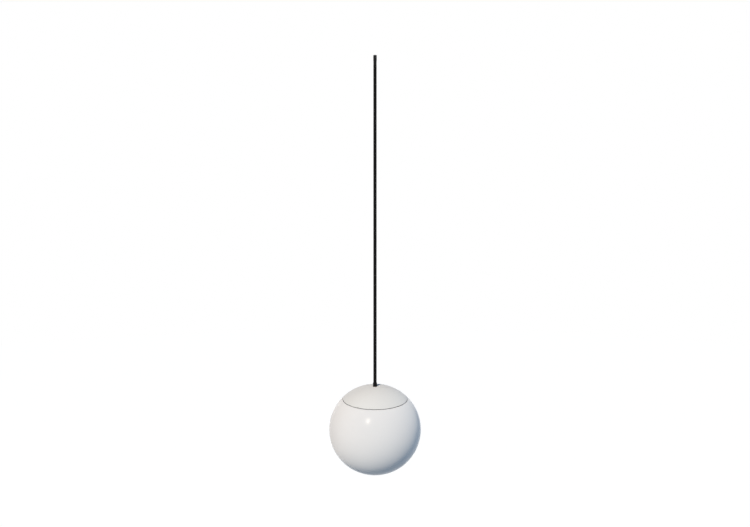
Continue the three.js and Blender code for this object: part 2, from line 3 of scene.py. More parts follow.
import bmesh
import bpy
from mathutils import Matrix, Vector


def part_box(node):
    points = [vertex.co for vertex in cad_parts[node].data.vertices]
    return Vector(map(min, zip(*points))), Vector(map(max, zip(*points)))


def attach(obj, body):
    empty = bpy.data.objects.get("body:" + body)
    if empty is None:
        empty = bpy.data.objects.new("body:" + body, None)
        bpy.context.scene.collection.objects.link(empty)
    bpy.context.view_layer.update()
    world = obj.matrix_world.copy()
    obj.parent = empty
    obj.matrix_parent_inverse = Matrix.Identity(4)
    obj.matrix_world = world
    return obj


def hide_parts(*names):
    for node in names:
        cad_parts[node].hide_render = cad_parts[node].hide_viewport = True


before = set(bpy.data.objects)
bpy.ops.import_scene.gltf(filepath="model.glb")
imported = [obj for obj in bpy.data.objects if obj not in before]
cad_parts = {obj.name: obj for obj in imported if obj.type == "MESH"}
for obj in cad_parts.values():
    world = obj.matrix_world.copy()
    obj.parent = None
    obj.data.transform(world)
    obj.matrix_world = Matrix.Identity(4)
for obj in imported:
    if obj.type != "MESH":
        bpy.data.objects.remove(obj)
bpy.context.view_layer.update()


# Camera. The photograph is drawn without perspective, from a little above the lamp.
# The camera aims at the point on the cord that lies in the middle of the picture.
picture_width = 750
picture_height = 527
globe_centre_row = 429.5
metres_per_pixel = 0.0021834
camera_elevation = math.radians(19.2)
camera_distance = 4.0
globe_centre = -0.865


def placed(name, data):
    """A new object with this data, put into the scene."""
    thing = bpy.data.objects.new(name, data)
    bpy.context.scene.collection.objects.link(thing)
    return thing


aim_above_globe = (globe_centre_row - picture_height / 2) * metres_per_pixel
aim_height = globe_centre + aim_above_globe / math.cos(camera_elevation)
camera_data = bpy.data.cameras.new("camera")
camera_data.type = "ORTHO"
camera_data.ortho_scale = picture_width * metres_per_pixel
camera = placed("camera", camera_data)
camera.location = (
    0,
    -camera_distance * math.cos(camera_elevation),
    aim_height + camera_distance * math.sin(camera_elevation),
)
camera.rotation_euler = (math.pi / 2 - camera_elevation, 0, 0)
bpy.context.scene.camera = camera


# Cord. A round flex in black PVC, extruded over three twisted cores whose lay shows as a
# faint slow helix. It is crimped in the swing socket above and goes into the grip below.
cord_diameter = 0.0072
cord_bottom = -0.7567
cord_top = -0.0223
cord_point_count = 24
cord_facets = 10
core_count = 3
lay_length = 0.055
lay_depth = 0.00006
sheath_grain_depth = 0.00001


class Value:
    """A number that flows between nodes. Arithmetic on it adds Math nodes."""

    def __init__(self, nodes, socket):
        self.nodes = nodes
        self.socket = socket

    def __add__(self, other):
        return self.nodes.maths("ADD", self, other)

    __radd__ = __add__

    def __sub__(self, other):
        return self.nodes.maths("SUBTRACT", self, other)

    def __rsub__(self, other):
        return self.nodes.maths("SUBTRACT", other, self)

    def __mul__(self, other):
        return self.nodes.maths("MULTIPLY", self, other)

    __rmul__ = __mul__

    def __truediv__(self, other):
        return self.nodes.maths("DIVIDE", self, other)


class Nodes:
    """A node tree, and the one method that adds a node to it."""

    def __init__(self, tree):
        self.tree = tree

    def node(self, kind, settings=None, sockets=None, output=0):
        added = self.tree.nodes.new(kind)
        for name, setting in (settings or {}).items():
            setattr(added, name, setting)
        for name, value in (sockets or {}).items():
            self.feed(added.inputs[name], value)
        return Value(self, added.outputs[output])

    def feed(self, socket, value):
        if isinstance(value, Value):
            self.tree.links.new(value.socket, socket)
        else:
            socket.default_value = value

    def maths(self, operation, *values):
        return self.node("ShaderNodeMath", {"operation": operation}, dict(enumerate(values)))

    def split(self, vector):
        return [
            self.node("ShaderNodeSeparateXYZ", sockets={"Vector": vector}, output=axis)
            for axis in ("X", "Y", "Z")
        ]


class Finish(Nodes):
    """A material whose pattern lies on object coordinates and feeds one shader."""

    def __init__(self, name, constants):
        self.material = bpy.data.materials.new(name)
        self.material.use_nodes = True
        super().__init__(self.material.node_tree)
        self.shader = self.tree.nodes["Principled BSDF"]
        self.set(constants)
        self.place = self.node("ShaderNodeTexCoord", output="Object")
        self.x, self.y, self.z = self.split(self.place)

    def set(self, sockets):
        for name, value in sockets.items():
            self.feed(self.shader.inputs[name], value)

    def noise(self, scale, detail=3.0, stretch=(1, 1, 1)):
        place = self.node("ShaderNodeMapping", sockets={"Vector": self.place, "Scale": stretch})
        sockets = {"Vector": place, "Scale": scale, "Detail": detail}
        return self.node("ShaderNodeTexNoise", sockets=sockets)

    def between(self, noise, low, high):
        """Spreads the middle of a noise, where most of it lies, from a low value to a high one."""
        reach = {"From Min": 0.3, "From Max": 0.7, "To Min": low, "To Max": high}
        settings = {"interpolation_type": "SMOOTHSTEP"}
        return self.node("ShaderNodeMapRange", settings, {"Value": noise, **reach})

    def mix(self, factor, first, second):
        """A colour between two. The sockets go by number, because several share a name."""
        colours = [c if isinstance(c, Value) else (*c, 1.0) for c in (first, second)]
        sockets = {0: factor, 6: colours[0], 7: colours[1]}
        return self.node("ShaderNodeMix", {"data_type": "RGBA"}, sockets, output=2)

    def colour(self, noise, dark, pale):
        self.set({"Base Color": self.mix(noise, dark, pale)})

    def roughness(self, noise, low, high):
        self.set({"Roughness": self.between(noise, low, high)})

    def relief(self, height, depth):
        sockets = {"Height": height, "Distance": depth}
        self.set({"Normal": self.node("ShaderNodeBump", sockets=sockets)})


def fit(piece, body, slot, *nodes):
    """A finished piece rides on its body and stands for its nodes."""
    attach(piece, body)
    if nodes:
        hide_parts(*nodes)


def flex_finish():
    flex = Finish("black_flex", {"Specular IOR Level": 0.06})
    cloud = flex.noise(scale=40, stretch=(1, 1, 0.3))
    grain = flex.noise(scale=3000, stretch=(1, 1, 0.05))
    angle = flex.maths("ARCTAN2", flex.y, flex.x)
    lay = flex.maths("SINE", angle * core_count + flex.z * (2 * math.pi / lay_length))
    flex.colour(cloud, dark=(0.004, 0.004, 0.004), pale=(0.009, 0.009, 0.009))
    flex.roughness(cloud, low=0.55, high=0.66)
    flex.relief(lay * 0.5 + grain * (sheath_grain_depth / lay_depth), depth=lay_depth)
    return flex


def strand(name, points, diameter, facets, finish):
    """A round strand that runs through points and is closed at both ends."""
    curve = bpy.data.curves.new(name, "CURVE")
    curve.dimensions = "3D"
    curve.bevel_depth = diameter / 2
    curve.bevel_resolution = facets
    curve.use_fill_caps = True
    spline = curve.splines.new("POLY")
    spline.points.add(len(points) - 1)
    for spline_point, point in zip(spline.points, points):
        spline_point.co = (*point, 1)
    curve.materials.append(finish.material)
    return placed(name, curve)


flex = flex_finish()
cord_shares = [i / (cord_point_count - 1) for i in range(cord_point_count)]
cord_points = [(0, 0, cord_bottom + (cord_top - cord_bottom) * share) for share in cord_shares]
cord = strand("hanging_flex", cord_points, cord_diameter, cord_facets, flex)
fit(cord, "pendant", "flex", "pendant_cord")


# Ceiling anchor. A slim black steel end, turned, with a round seat below for the swing
# socket and a pin down its middle that carries the bead the lamp swings on.
pivot_height = -0.014
pivot = (0, pivot_height)
seat_clearance = 0.0003
pin_radius = 0.0005
pin_end_rise = 0.0018
anchor_groove_depth = 0.00025
anchor_groove_width = 0.0006
anchor_groove_heights = (-0.003, -0.0085)
sharp_angle = math.radians(35)

# How much an edge is eased, from the sharpest to the roundest.
hair_ease = 0.0001
fine_ease = 0.0002
soft_ease = 0.0003
full_ease = 0.0004


def span(node):
    """A node's lowest and highest level, and how far it reaches from the lamp's axis."""
    low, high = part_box(node)
    return low[2], high[2], max(high[0], high[1])


def arc(radius, start, end, centre, rise=None, *, steps):
    """Points along an arc of a circle, or of an ellipse where rise is given."""
    angles = [start + (end - start) * step / steps for step in range(steps + 1)]
    upward = radius if rise is None else rise
    return [
        (centre[0] + radius * math.cos(a), centre[1] + upward * math.sin(a)) for a in angles
    ]


def eased(corners, steps=4):
    """Points of an outline in which a corner with a third number is rounded by so much."""
    longest_share = 0.49
    points = []
    for i, corner in enumerate(corners):
        here = Vector(corner[:2])
        if len(corner) == 2:
            points.append(here)
            continue
        before = Vector(corners[i - 1][:2]) - here
        after = Vector(corners[(i + 1) % len(corners)][:2]) - here
        reach = min(corner[2], longest_share * before.length, longest_share * after.length)
        start = here + before.normalized() * reach
        end = here + after.normalized() * reach
        for step in range(steps + 1):
            share = step / steps
            onward = start.lerp(here, share)
            points.append(onward.lerp(here.lerp(end, share), share))
    return points


def smoothed(data, angle=sharp_angle):
    """Shades a mesh smooth but for its sharp edges."""
    data.shade_smooth()
    data.set_sharp_from_angle(angle=angle)


def made(name, shape, finish, angle=sharp_angle):
    """An object made from a bmesh."""
    data = bpy.data.meshes.new(name)
    shape.to_mesh(data)
    shape.free()
    data.materials.append(finish.material)
    smoothed(data, angle)
    return placed(name, data)


def lathe(outline_at, sides):
    """A closed shape about the lamp's axis, from the outline that it has at each angle."""
    shape = bmesh.new()
    lines = []
    for side in range(sides):
        angle = 2 * math.pi * side / sides
        lines.append([
            shape.verts.new((radius * math.cos(angle), radius * math.sin(angle), height))
            for radius, height in outline_at(angle)
        ])
    for line, following in zip(lines, lines[1:] + lines[:1]):
        for i in range(len(line)):
            j = (i + 1) % len(line)
            # A stretch of the outline that lies on the axis makes no faces.
            if any(line[i].co.xy) or any(line[j].co.xy):
                shape.faces.new((line[i], following[i], following[j], line[j]))
    bmesh.ops.remove_doubles(shape, verts=shape.verts, dist=1e-7)
    bmesh.ops.recalc_face_normals(shape, faces=shape.faces)
    return shape


def turned(name, corners, finish, sides=64):
    """A piece turned about the lamp's axis from an outline of radius and height."""
    outline = eased(corners)
    return made(name, lathe(lambda angle: outline, sides), finish)


def grooves(radius, heights, width, depth, ease):
    """Corners of shallow grooves down a turned outside, from the highest to the lowest."""
    corners = []
    for height in heights:
        corners += [
            (radius, height + width / 2, ease),
            (radius - depth, height + width / 4, ease),
            (radius - depth, height - width / 4, ease),
            (radius, height - width / 2, ease),
        ]
    return corners


def black_steel_finish():
    coat = Finish("black_coated_steel", {"Specular IOR Level": 0.12})
    cloud = coat.noise(scale=300)
    coat.colour(cloud, dark=(0.007, 0.007, 0.0075), pale=(0.013, 0.013, 0.0135))
    coat.roughness(cloud, low=0.38, high=0.5)
    coat.relief(coat.noise(scale=2500, detail=1.0), depth=0.00002)
    return coat


black_steel = black_steel_finish()
anchor_bottom, anchor_top, anchor_radius = span("ceiling_anchor")
socket_bottom, _, socket_radius = span("swing_socket")
seat_radius = socket_radius + seat_clearance
seat_start = math.asin((anchor_bottom - pivot_height) / seat_radius)
seat_end = math.acos(pin_radius / seat_radius)
pin_end = pivot_height + pin_end_rise
anchor_grooves = (anchor_groove_heights, anchor_groove_width, anchor_groove_depth)
anchor = turned(
    "ceiling_end_piece",
    [
        (0, anchor_top),
        (anchor_radius, anchor_top, soft_ease),
        *grooves(anchor_radius, *anchor_grooves, hair_ease),
        (anchor_radius, anchor_bottom),
        *arc(seat_radius, seat_start, seat_end, pivot, steps=14),
        (pin_radius, pin_end, hair_ease),
        (0, pin_end),
    ],
    black_steel,
)
fit(anchor, "ceiling_end", "black_steel", "ceiling_anchor")


def bright_steel_finish():
    steel = Finish("bright_steel", {"Metallic": 1.0})
    cloud = steel.noise(scale=200)
    steel.colour(cloud, dark=(0.5, 0.5, 0.51), pale=(0.62, 0.62, 0.63))
    steel.roughness(cloud, low=0.22, high=0.34)
    steel.relief(steel.noise(scale=6000, detail=1.0, stretch=(0.2, 0.2, 1)), depth=0.000004)
    return steel


bright_steel = bright_steel_finish()


def dress(node, finish):
    """A node of the frame keeps its shape and gets a finish."""
    for material_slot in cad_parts[node].material_slots:
        material_slot.material = finish.material


dress("anchor_bead", bright_steel)


# Swing socket. A black steel ferrule on the cord's end: its head closes round the bead, and
# its tail is crimped on the cord in two rings.
socket_hollow_radius = 0.0018
socket_mouth_angle = math.radians(43.5)
crimp_heights = (-0.0182, -0.0203)
crimp_width = 0.0009
crimp_depth = 0.0003

socket = turned(
    "swing_ferrule",
    [
        *arc(socket_radius, socket_mouth_angle, 0, pivot, steps=8),
        *grooves(socket_radius, crimp_heights, crimp_width, crimp_depth, fine_ease),
        (socket_radius, socket_bottom, fine_ease),
        (0, socket_bottom),
        *arc(socket_hollow_radius, -math.pi / 2, socket_mouth_angle, pivot, steps=12),
    ],
    black_steel,
)
fit(socket, "pendant", "black_steel", "swing_socket")


# Cord grip. A slim moulded nylon sleeve that stands out of the crown and reaches down inside
# the boss. Its top edge is rounded, and its bore opens a little towards the cord.
grip_bottom, grip_top, grip_radius = span("cord_grip")
grip_bore = 0.0039
grip_mouth = 0.0041
grip_mouth_depth = 0.002
grip_top_ease = 0.0005
grip_groove_drop = 0.0085
grip_groove_width = 0.0006
grip_groove_depth = 0.00015


def grip_finish():
    nylon = Finish("black_nylon", {"Specular IOR Level": 0.08})
    cloud = nylon.noise(scale=150)
    nylon.colour(cloud, dark=(0.004, 0.004, 0.004), pale=(0.008, 0.008, 0.008))
    nylon.roughness(cloud, low=0.36, high=0.46)
    nylon.relief(nylon.noise(scale=5000, detail=2.0), depth=0.000012)
    return nylon


grip_groove = ((grip_top - grip_groove_drop,), grip_groove_width, grip_groove_depth)
grip = turned(
    "cord_grip_sleeve",
    [
        (grip_bore, grip_bottom, fine_ease),
        (grip_radius, grip_bottom, full_ease),
        *reversed(grooves(grip_radius, *grip_groove, hair_ease)),
        (grip_radius, grip_top, grip_top_ease),
        (grip_mouth, grip_top, soft_ease),
        (grip_bore, grip_top - grip_mouth_depth),
    ],
    grip_finish(),
)
fit(grip, "pendant", "grip", "cord_grip")


# Cord tail. The last of the cord's sheath, inside the grip and the boss, cut square where
# the cores come out.
tail_bottom, tail_top, tail_radius = span("cord_tail")
tail = turned(
    "sheath_end",
    [
        (0, tail_top),
        (tail_radius, tail_top),
        (tail_radius, tail_bottom, fine_ease),
        (0, tail_bottom),
    ],
    flex,
    sides=48,
)
fit(tail, "pendant", "flex", "cord_tail")


# Cap. The crown of the sphere, spun from steel sheet and powder coated in a matt warm white,
# with a softly turned edge above the seam and a hole for the cord grip.
globe_radius = 0.1
cap_wall = 0.002
cap_inner_radius = globe_radius - cap_wall
cap_rim = span("cap_shell")[0]
cap_hole_radius = 0.00475
cap_edge_ease = 0.00035
cap_cloud_share = 0.6


def sphere_arc(radius, start, end, steps):
    return arc(radius, start, end, (0, globe_centre), steps=steps)


def ease_ends(points, ease):
    """The same points, with the first and the last of them eased."""
    return [(*points[0], ease), *points[1:-1], (*points[-1], ease)]


def cap_finish():
    coat = Finish("warm_white_powder_coat", {"Specular IOR Level": 0.1, "Diffuse Roughness": 0.42})
    cloud = coat.noise(scale=9, detail=2.0)
    speckle = coat.noise(scale=700, detail=2.0)
    tone = cloud * cap_cloud_share + speckle * (1 - cap_cloud_share)
    coat.colour(tone, dark=(0.75, 0.753, 0.735), pale=(0.79, 0.793, 0.775))
    coat.roughness(speckle, low=0.62, high=0.74)
    coat.relief(coat.noise(scale=1400, detail=1.5), depth=0.00003)
    return coat


cap_rim_rise = cap_rim - globe_centre
cap_outer_start = math.acos(cap_hole_radius / globe_radius)
cap_outer_end = math.asin(cap_rim_rise / globe_radius)
cap_inner_start = math.asin(cap_rim_rise / cap_inner_radius)
cap_inner_end = math.acos(cap_hole_radius / cap_inner_radius)
cap_outside = sphere_arc(globe_radius, cap_outer_start, cap_outer_end, steps=40)
cap_inside = sphere_arc(cap_inner_radius, cap_inner_start, cap_inner_end, steps=30)
cap = turned(
    "crown_cap",
    [*ease_ends(cap_outside, cap_edge_ease), *ease_ends(cap_inside, cap_edge_ease)],
    cap_finish(),
    sides=160,
)
fit(cap, "pendant", "cap", "cap_shell")


# Crown boss. A hollow threaded tube with a flange, turned from steel and zinc plated. The
# flange bears up under the crown, and all that hangs inside is clamped on the thread.
boss_bore = cap_hole_radius
boss_thread_radius = 0.0065
boss_clearance = 0.0003
boss_bottom, boss_top, boss_flange_radius = span("crown_boss")
boss_flange_thickness = 0.0025
boss_flange_bottom = boss_top - boss_flange_thickness
boss_flange_ease = 0.0006
boss_pitch = 0.001
boss_thread_depth = 0.0005
boss_points_per_turn = 6


class PieceTree(Nodes):
    """A geometry tree that makes a new mesh of a piece by named sizes, and coats it."""

    def __init__(self, name, sizes):
        super().__init__(bpy.data.node_groups.new(name, "GeometryNodeTree"))
        self.add_socket("Piece", "INPUT", "Geometry")
        for size, kind in sizes.items():
            self.add_socket(size, "INPUT", kind)
        self.add_socket("Finish", "INPUT", "Material")
        self.add_socket("Result", "OUTPUT", "Geometry")
        given = self.tree.nodes.new("NodeGroupInput")
        self.given = {socket.name: Value(self, socket) for socket in given.outputs if socket.name}

    def add_socket(self, name, way, kind):
        self.tree.interface.new_socket(name, in_out=way, socket_type=f"NodeSocket{kind}")

    def ended(self, geometry):
        """The tree, closed with a plain mesh that carries the finish."""
        whole = self.node("GeometryNodeRealizeInstances", sockets={"Geometry": geometry})
        sockets = {"Geometry": whole, "Material": self.given["Finish"]}
        coated = self.node("GeometryNodeSetMaterial", sockets=sockets)
        result = self.tree.nodes.new("NodeGroupOutput")
        self.feed(result.inputs["Result"], coated)
        return self.tree


def thread_tree():
    """Geometry nodes that press a right-hand thread into a turned wall about the axis."""
    sizes = ("Pitch", "Depth", "Bottom", "Top", "Smallest radius")
    nodes = PieceTree("pressed thread", dict.fromkeys(sizes, "Float"))
    pitch, depth, bottom, top, smallest = [nodes.given[size] for size in sizes]
    least_divisor = 0.0001
    x, y, z = nodes.split(nodes.node("GeometryNodeInputPosition"))
    radius = nodes.maths("SQRT", x * x + y * y)
    turn = nodes.maths("ARCTAN2", y, x) / (2 * math.pi)
    wave = nodes.maths("COSINE", (z / pitch - turn) * (2 * math.pi))
    from_bottom = nodes.maths("MINIMUM", (z - bottom) / pitch, 1.0)
    from_top = nodes.maths("MINIMUM", (top - z) / pitch, 1.0)
    run_out = nodes.maths("MAXIMUM", nodes.maths("MINIMUM", from_bottom, from_top), 0.0)
    on_wall = nodes.maths("GREATER_THAN", radius, smallest)
    inward = (1 - wave) * 0.5 * depth * run_out * on_wall
    shrink = inward * -1 / nodes.maths("MAXIMUM", radius, least_divisor)
    move = nodes.node("ShaderNodeCombineXYZ", sockets={"X": x * shrink, "Y": y * shrink})
    sockets = {"Geometry": nodes.given["Piece"], "Offset": move}
    return nodes.ended(nodes.node("GeometryNodeSetPosition", sockets=sockets))


def run_tree(piece, tree, inputs):
    """Runs a geometry tree on a piece and leaves the result as its plain mesh."""
    modifier = piece.modifiers.new("tree", "NODES")
    modifier.node_group = tree
    for item in tree.interface.items_tree:
        if item.in_out == "INPUT" and item.name in inputs:
            modifier[item.identifier] = inputs[item.name]
    bake(piece)


def bake(piece):
    """Makes the piece's modifiers part of its mesh."""
    evaluated = piece.evaluated_get(bpy.context.evaluated_depsgraph_get())
    data = bpy.data.meshes.new_from_object(evaluated)
    piece.modifiers.clear()
    data.name = piece.data.name
    smoothed(data)
    piece.data = data


def wall(radius, start, end, step):
    """Closely spaced points up or down a straight wall, for a thread to be pressed in."""
    count = max(1, round(abs(end - start) / step))
    return [(radius, start + (end - start) * i / count) for i in range(count + 1)]


def zinc_finish():
    zinc = Finish("zinc_plated_steel", {"Metallic": 1.0})
    streak = zinc.noise(scale=900, stretch=(1, 1, 0.15))
    zinc.colour(zinc.noise(scale=60), dark=(0.44, 0.45, 0.46), pale=(0.58, 0.585, 0.58))
    zinc.roughness(streak, low=0.34, high=0.5)
    zinc.relief(streak, depth=0.000008)
    return zinc


thread = thread_tree()
zinc = zinc_finish()
boss_step = boss_pitch / boss_points_per_turn
boss = turned(
    "crown_boss_tube",
    [
        (boss_bore, boss_bottom, fine_ease),
        *wall(boss_thread_radius, boss_bottom, boss_flange_bottom, boss_step),
        (boss_flange_radius, boss_flange_bottom, full_ease),
        (boss_flange_radius, boss_top, boss_flange_ease),
        (boss_bore, boss_top, fine_ease),
    ],
    zinc,
    sides=48,
)
run_tree(boss, thread, {
    "Pitch": boss_pitch,
    "Depth": boss_thread_depth,
    "Bottom": boss_bottom,
    "Top": boss_flange_bottom,
    "Smallest radius": (boss_bore + boss_thread_radius) / 2,
    "Finish": zinc.material,
})
fit(boss, "pendant", "zinc_steel", "crown_boss")


# Gallery. A spider pressed from one steel sheet: a hub on the boss, three sloping arms with
# a stiffening rib in each, and a flat rim that lies over the glass. It is zinc plated.
gallery_thickness = 0.0015
gallery_bottom, gallery_top, gallery_rim_outer = span("gallery_spider")
gallery_hub_middle = gallery_top - gallery_thickness / 2
gallery_rim_middle = gallery_bottom + gallery_thickness / 2
gallery_hole_radius = boss_thread_radius + boss_clearance
gallery_slope_inner = 0.016
gallery_slope_outer = 0.04642
gallery_window_inner = 0.02
gallery_window_outer = 0.04242
gallery_window_half_angle = 38
gallery_rib_half_angle = 7
gallery_rib_rise = 0.0009
clip_degrees = (90, 210, 330)
gallery_degree_step = 2

# The rings of the net stand at the bends, and close enough between them to keep the form.
gallery_rings = (
    gallery_hole_radius, 0.0072, 0.011,
    gallery_slope_inner, 0.018,
    gallery_window_inner, 0.0215, 0.026, 0.031, 0.036, 0.0405,
    gallery_window_outer, 0.044,
    gallery_slope_outer, 0.05, 0.056, 0.0625,
    gallery_rim_outer,
)


def gallery_height(radius, off_arm):
    """The level of the sheet's middle: hub, slope and rim, raised where an arm has its rib."""
    share = (radius - gallery_slope_inner) / (gallery_slope_outer - gallery_slope_inner)
    share = min(max(share, 0), 1)
    height = gallery_hub_middle + (gallery_rim_middle - gallery_hub_middle) * share
    on_arm = gallery_window_inner <= radius <= gallery_window_outer
    ribbed = on_arm and off_arm < gallery_rib_half_angle
    return height + (gallery_rib_rise if ribbed else 0)


def degrees_off(degrees, aim):
    """How far one angle lies from another, either way, in degrees."""
    return abs((degrees - aim + 180) % 360 - 180)


def gallery_sheet():
    """The middle of the sheet as a round net, with the windows between the arms left open."""
    shape = bmesh.new()
    lines = {}
    for degrees in range(0, 360, gallery_degree_step):
        angle = math.radians(degrees)
        off_arm = min(degrees_off(degrees, clip) for clip in clip_degrees)
        lines[degrees] = [
            shape.verts.new((r * math.cos(angle), r * math.sin(angle), gallery_height(r, off_arm)))
            for r in gallery_rings
        ]
    for degrees, line in lines.items():
        following = lines[(degrees + gallery_degree_step) % 360]
        middle = degrees + gallery_degree_step / 2
        off_window = min(degrees_off(middle, clip + 180) for clip in clip_degrees)
        for i in range(len(gallery_rings) - 1):
            between_arms = off_window < gallery_window_half_angle
            if between_arms and gallery_window_inner <= gallery_rings[i] < gallery_window_outer:
                continue
            shape.faces.new((line[i], line[i + 1], following[i + 1], following[i]))
    bmesh.ops.delete(shape, geom=[v for v in shape.verts if not v.link_faces], context="VERTS")
    return shape


def thickened(piece, thickness):
    """Gives a sheet its thickness, half to either side, and softens its bends and edges."""
    wall_modifier = piece.modifiers.new("thickness", "SOLIDIFY")
    wall_modifier.thickness = thickness
    wall_modifier.offset = 0
    wall_modifier.use_even_offset = True
    softer = piece.modifiers.new("softening", "SUBSURF")
    softer.levels = 1
    softer.render_levels = 1
    bake(piece)


gallery = made("gallery_pressing", gallery_sheet(), zinc)
thickened(gallery, gallery_thickness)
fit(gallery, "pendant", "zinc_steel", "gallery_spider")


# Lock washer and lock nut. A toothed washer of zinc-plated spring steel and a six-sided
# brass nut, its corners chamfered, clamp the gallery up against the boss flange.
washer_bottom, washer_top, washer_outer_radius = span("lock_washer")
washer_inner_radius = boss_thread_radius + boss_clearance
washer_ring_radius = 0.0083
washer_ring_inset = 0.0003
washer_tooth_count = 14
washer_tooth_share = 0.55
washer_tooth_root = 0.0004
washer_tooth_twist = 0.00025
washer_tooth_ease = 0.00005
nut_bottom, nut_top, nut_corner_radius = span("lock_nut")
nut_flat_radius = nut_corner_radius * math.cos(math.pi / 6)
nut_hole_radius = boss_thread_radius + boss_clearance
nut_hole_chamfer = 0.0004
nut_chamfer_radius = 0.0097
nut_chamfer_slope = math.tan(math.radians(30))
nut_sharp_angle = math.radians(20)


def ring_tree():
    """Geometry nodes that set turned copies of one piece round the lamp's axis."""
    nodes = PieceTree("ring of copies", {"Count": "Int", "First angle": "Float"})
    piece, count, first_angle = [nodes.given[name] for name in ("Piece", "Count", "First angle")]
    places = nodes.node("GeometryNodeMeshLine", sockets={"Count": count, "Offset": (0, 0, 0)})
    angle = first_angle + nodes.node("GeometryNodeInputIndex") * (2 * math.pi) / count
    turning = nodes.node("ShaderNodeCombineXYZ", sockets={"Z": angle})
    sockets = {"Points": places, "Instance": piece, "Rotation": turning}
    return nodes.ended(nodes.node("GeometryNodeInstanceOnPoints", sockets=sockets))


ring = ring_tree()


def ring_of(piece, count, first_degrees, finish):
    """Makes the piece a ring of so many copies of itself."""
    run_tree(piece, ring, {
        "Count": count,
        "First angle": math.radians(first_degrees),
        "Finish": finish.material,
    })


def joined(piece, *others):
    """Adds the other pieces' meshes to the first one's."""
    shape = bmesh.new()
    shape.from_mesh(piece.data)
    for other in others:
        shape.from_mesh(other.data)
        bpy.data.objects.remove(other)
    shape.to_mesh(piece.data)
    shape.free()
    smoothed(piece.data)
    return piece


def block(name, low, high, finish, ease):
    """A straight-sided piece between two corners, with its edges eased."""
    shape = bmesh.new()
    bmesh.ops.create_cube(shape, size=1.0)
    for vertex in shape.verts:
        for axis in range(3):
            vertex.co[axis] = high[axis] if vertex.co[axis] > 0 else low[axis]
    bmesh.ops.bevel(
        shape, geom=shape.edges, offset=ease, segments=2, affect="EDGES", profile=0.5
    )
    return made(name, shape, finish)


washer_ring_bottom = washer_bottom + washer_ring_inset
washer_ring_top = washer_top - washer_ring_inset


def washer_tooth():
    """One tooth of the washer, twisted so that its edges bite up and down."""
    half_width = math.pi * washer_outer_radius / washer_tooth_count * washer_tooth_share
    low = (washer_ring_radius - washer_tooth_root, -half_width, washer_ring_bottom)
    high = (washer_outer_radius, half_width, washer_ring_top)
    tooth = block("washer_tooth", low, high, zinc, washer_tooth_ease)
    for vertex in tooth.data.vertices:
        if vertex.co.x > washer_ring_radius:
            vertex.co.z += washer_tooth_twist * vertex.co.y / half_width
    return tooth


washer = turned(
    "toothed_washer",
    [
        (washer_inner_radius, washer_ring_bottom, hair_ease),
        (washer_ring_radius, washer_ring_bottom, hair_ease),
        (washer_ring_radius, washer_ring_top, hair_ease),
        (washer_inner_radius, washer_ring_top, hair_ease),
    ],
    zinc,
)
teeth = washer_tooth()
ring_of(teeth, washer_tooth_count, 0, zinc)
joined(washer, teeth)
fit(washer, "pendant", "zinc_steel", "lock_washer")


def brass_finish():
    brass = Finish("turned_brass", {"Metallic": 1.0})
    cloud = brass.noise(scale=120)
    brass.colour(cloud, dark=(0.52, 0.36, 0.13), pale=(0.7, 0.52, 0.22))
    brass.roughness(cloud, low=0.26, high=0.42)
    brass.relief(brass.noise(scale=5000, detail=1.0, stretch=(0.1, 0.1, 1)), depth=0.000005)
    return brass


brass = brass_finish()


def nut_outline(angle):
    """The nut's outline at an angle: hole, chamfered top, side, chamfered bottom and hole."""
    off_flat = (angle + math.pi / 6) % (math.pi / 3) - math.pi / 6
    side = nut_flat_radius / math.cos(off_flat)
    face = min(side, nut_chamfer_radius) - fine_ease
    drop = max(0, side - nut_chamfer_radius) * nut_chamfer_slope
    return [
        (nut_hole_radius, nut_bottom + nut_hole_chamfer),
        (nut_hole_radius, nut_top - nut_hole_chamfer),
        (nut_hole_radius + nut_hole_chamfer, nut_top),
        (face, nut_top),
        (side, nut_top - hair_ease - drop),
        (side, nut_bottom + hair_ease + drop),
        (face, nut_bottom),
        (nut_hole_radius + nut_hole_chamfer, nut_bottom),
    ]


nut = made("six_sided_nut", lathe(nut_outline, sides=72), brass, nut_sharp_angle)
fit(nut, "pendant", "brass", "lock_nut")


# Glass clips. Three strips of spring steel, bent cold: a foot riveted under the gallery, a
# leg down through the glass opening, a hook under the lip and a tail that leads the lip in.
clip_thickness = 0.0008
clip_width = 0.012
clip_end_width = 0.008
clip_bend = 0.0012
clip_leg_length = 0.0058
clip_leg_inset = 0.0054
clip_hook_inset = 0.00056
clip_tail_inset = 0.00576
clip_tail_rise = 0.00024
clip_tail_curl = (0.0006, 0.0008)
clip_foot_end = 0.001
clip_bottom, clip_top, clip_reach = span("glass_clip_1")
clip_foot_height = clip_top - clip_thickness / 2
clip_foot_inner = gallery_slope_outer
clip_leg_radius = clip_reach - clip_leg_inset
clip_hook_height = clip_foot_height - clip_leg_length
clip_hook_radius = clip_reach - clip_hook_inset
clip_tail_radius = clip_reach - clip_tail_inset
clip_tail_height = clip_bottom + clip_tail_rise


def bent_strip(name, corners, width, end_width, thickness, finish):
    """A strip bent along corners of radius and height, narrower at its two ends."""
    path = eased(corners, steps=5)
    shape = bmesh.new()
    columns = (-0.5, -0.45, 0, 0.45, 0.5)
    rows = []
    for i, point in enumerate(path):
        at_end = i in (0, len(path) - 1)
        across = end_width if at_end else width
        rows.append([shape.verts.new((point.x, across * column, point.y)) for column in columns])
    for row, following in zip(rows, rows[1:]):
        for i in range(len(columns) - 1):
            shape.faces.new((row[i], row[i + 1], following[i + 1], following[i]))
    strip = made(name, shape, finish)
    thickened(strip, thickness)
    return strip


def spring_finish():
    spring = Finish("spring_steel", {"Metallic": 1.0})
    rolled = spring.noise(scale=1600, stretch=(1, 1, 0.08))
    spring.colour(spring.noise(scale=90), dark=(0.4, 0.4, 0.41), pale=(0.54, 0.54, 0.55))
    spring.roughness(rolled, low=0.2, high=0.36)
    spring.relief(rolled, depth=0.000005)
    return spring


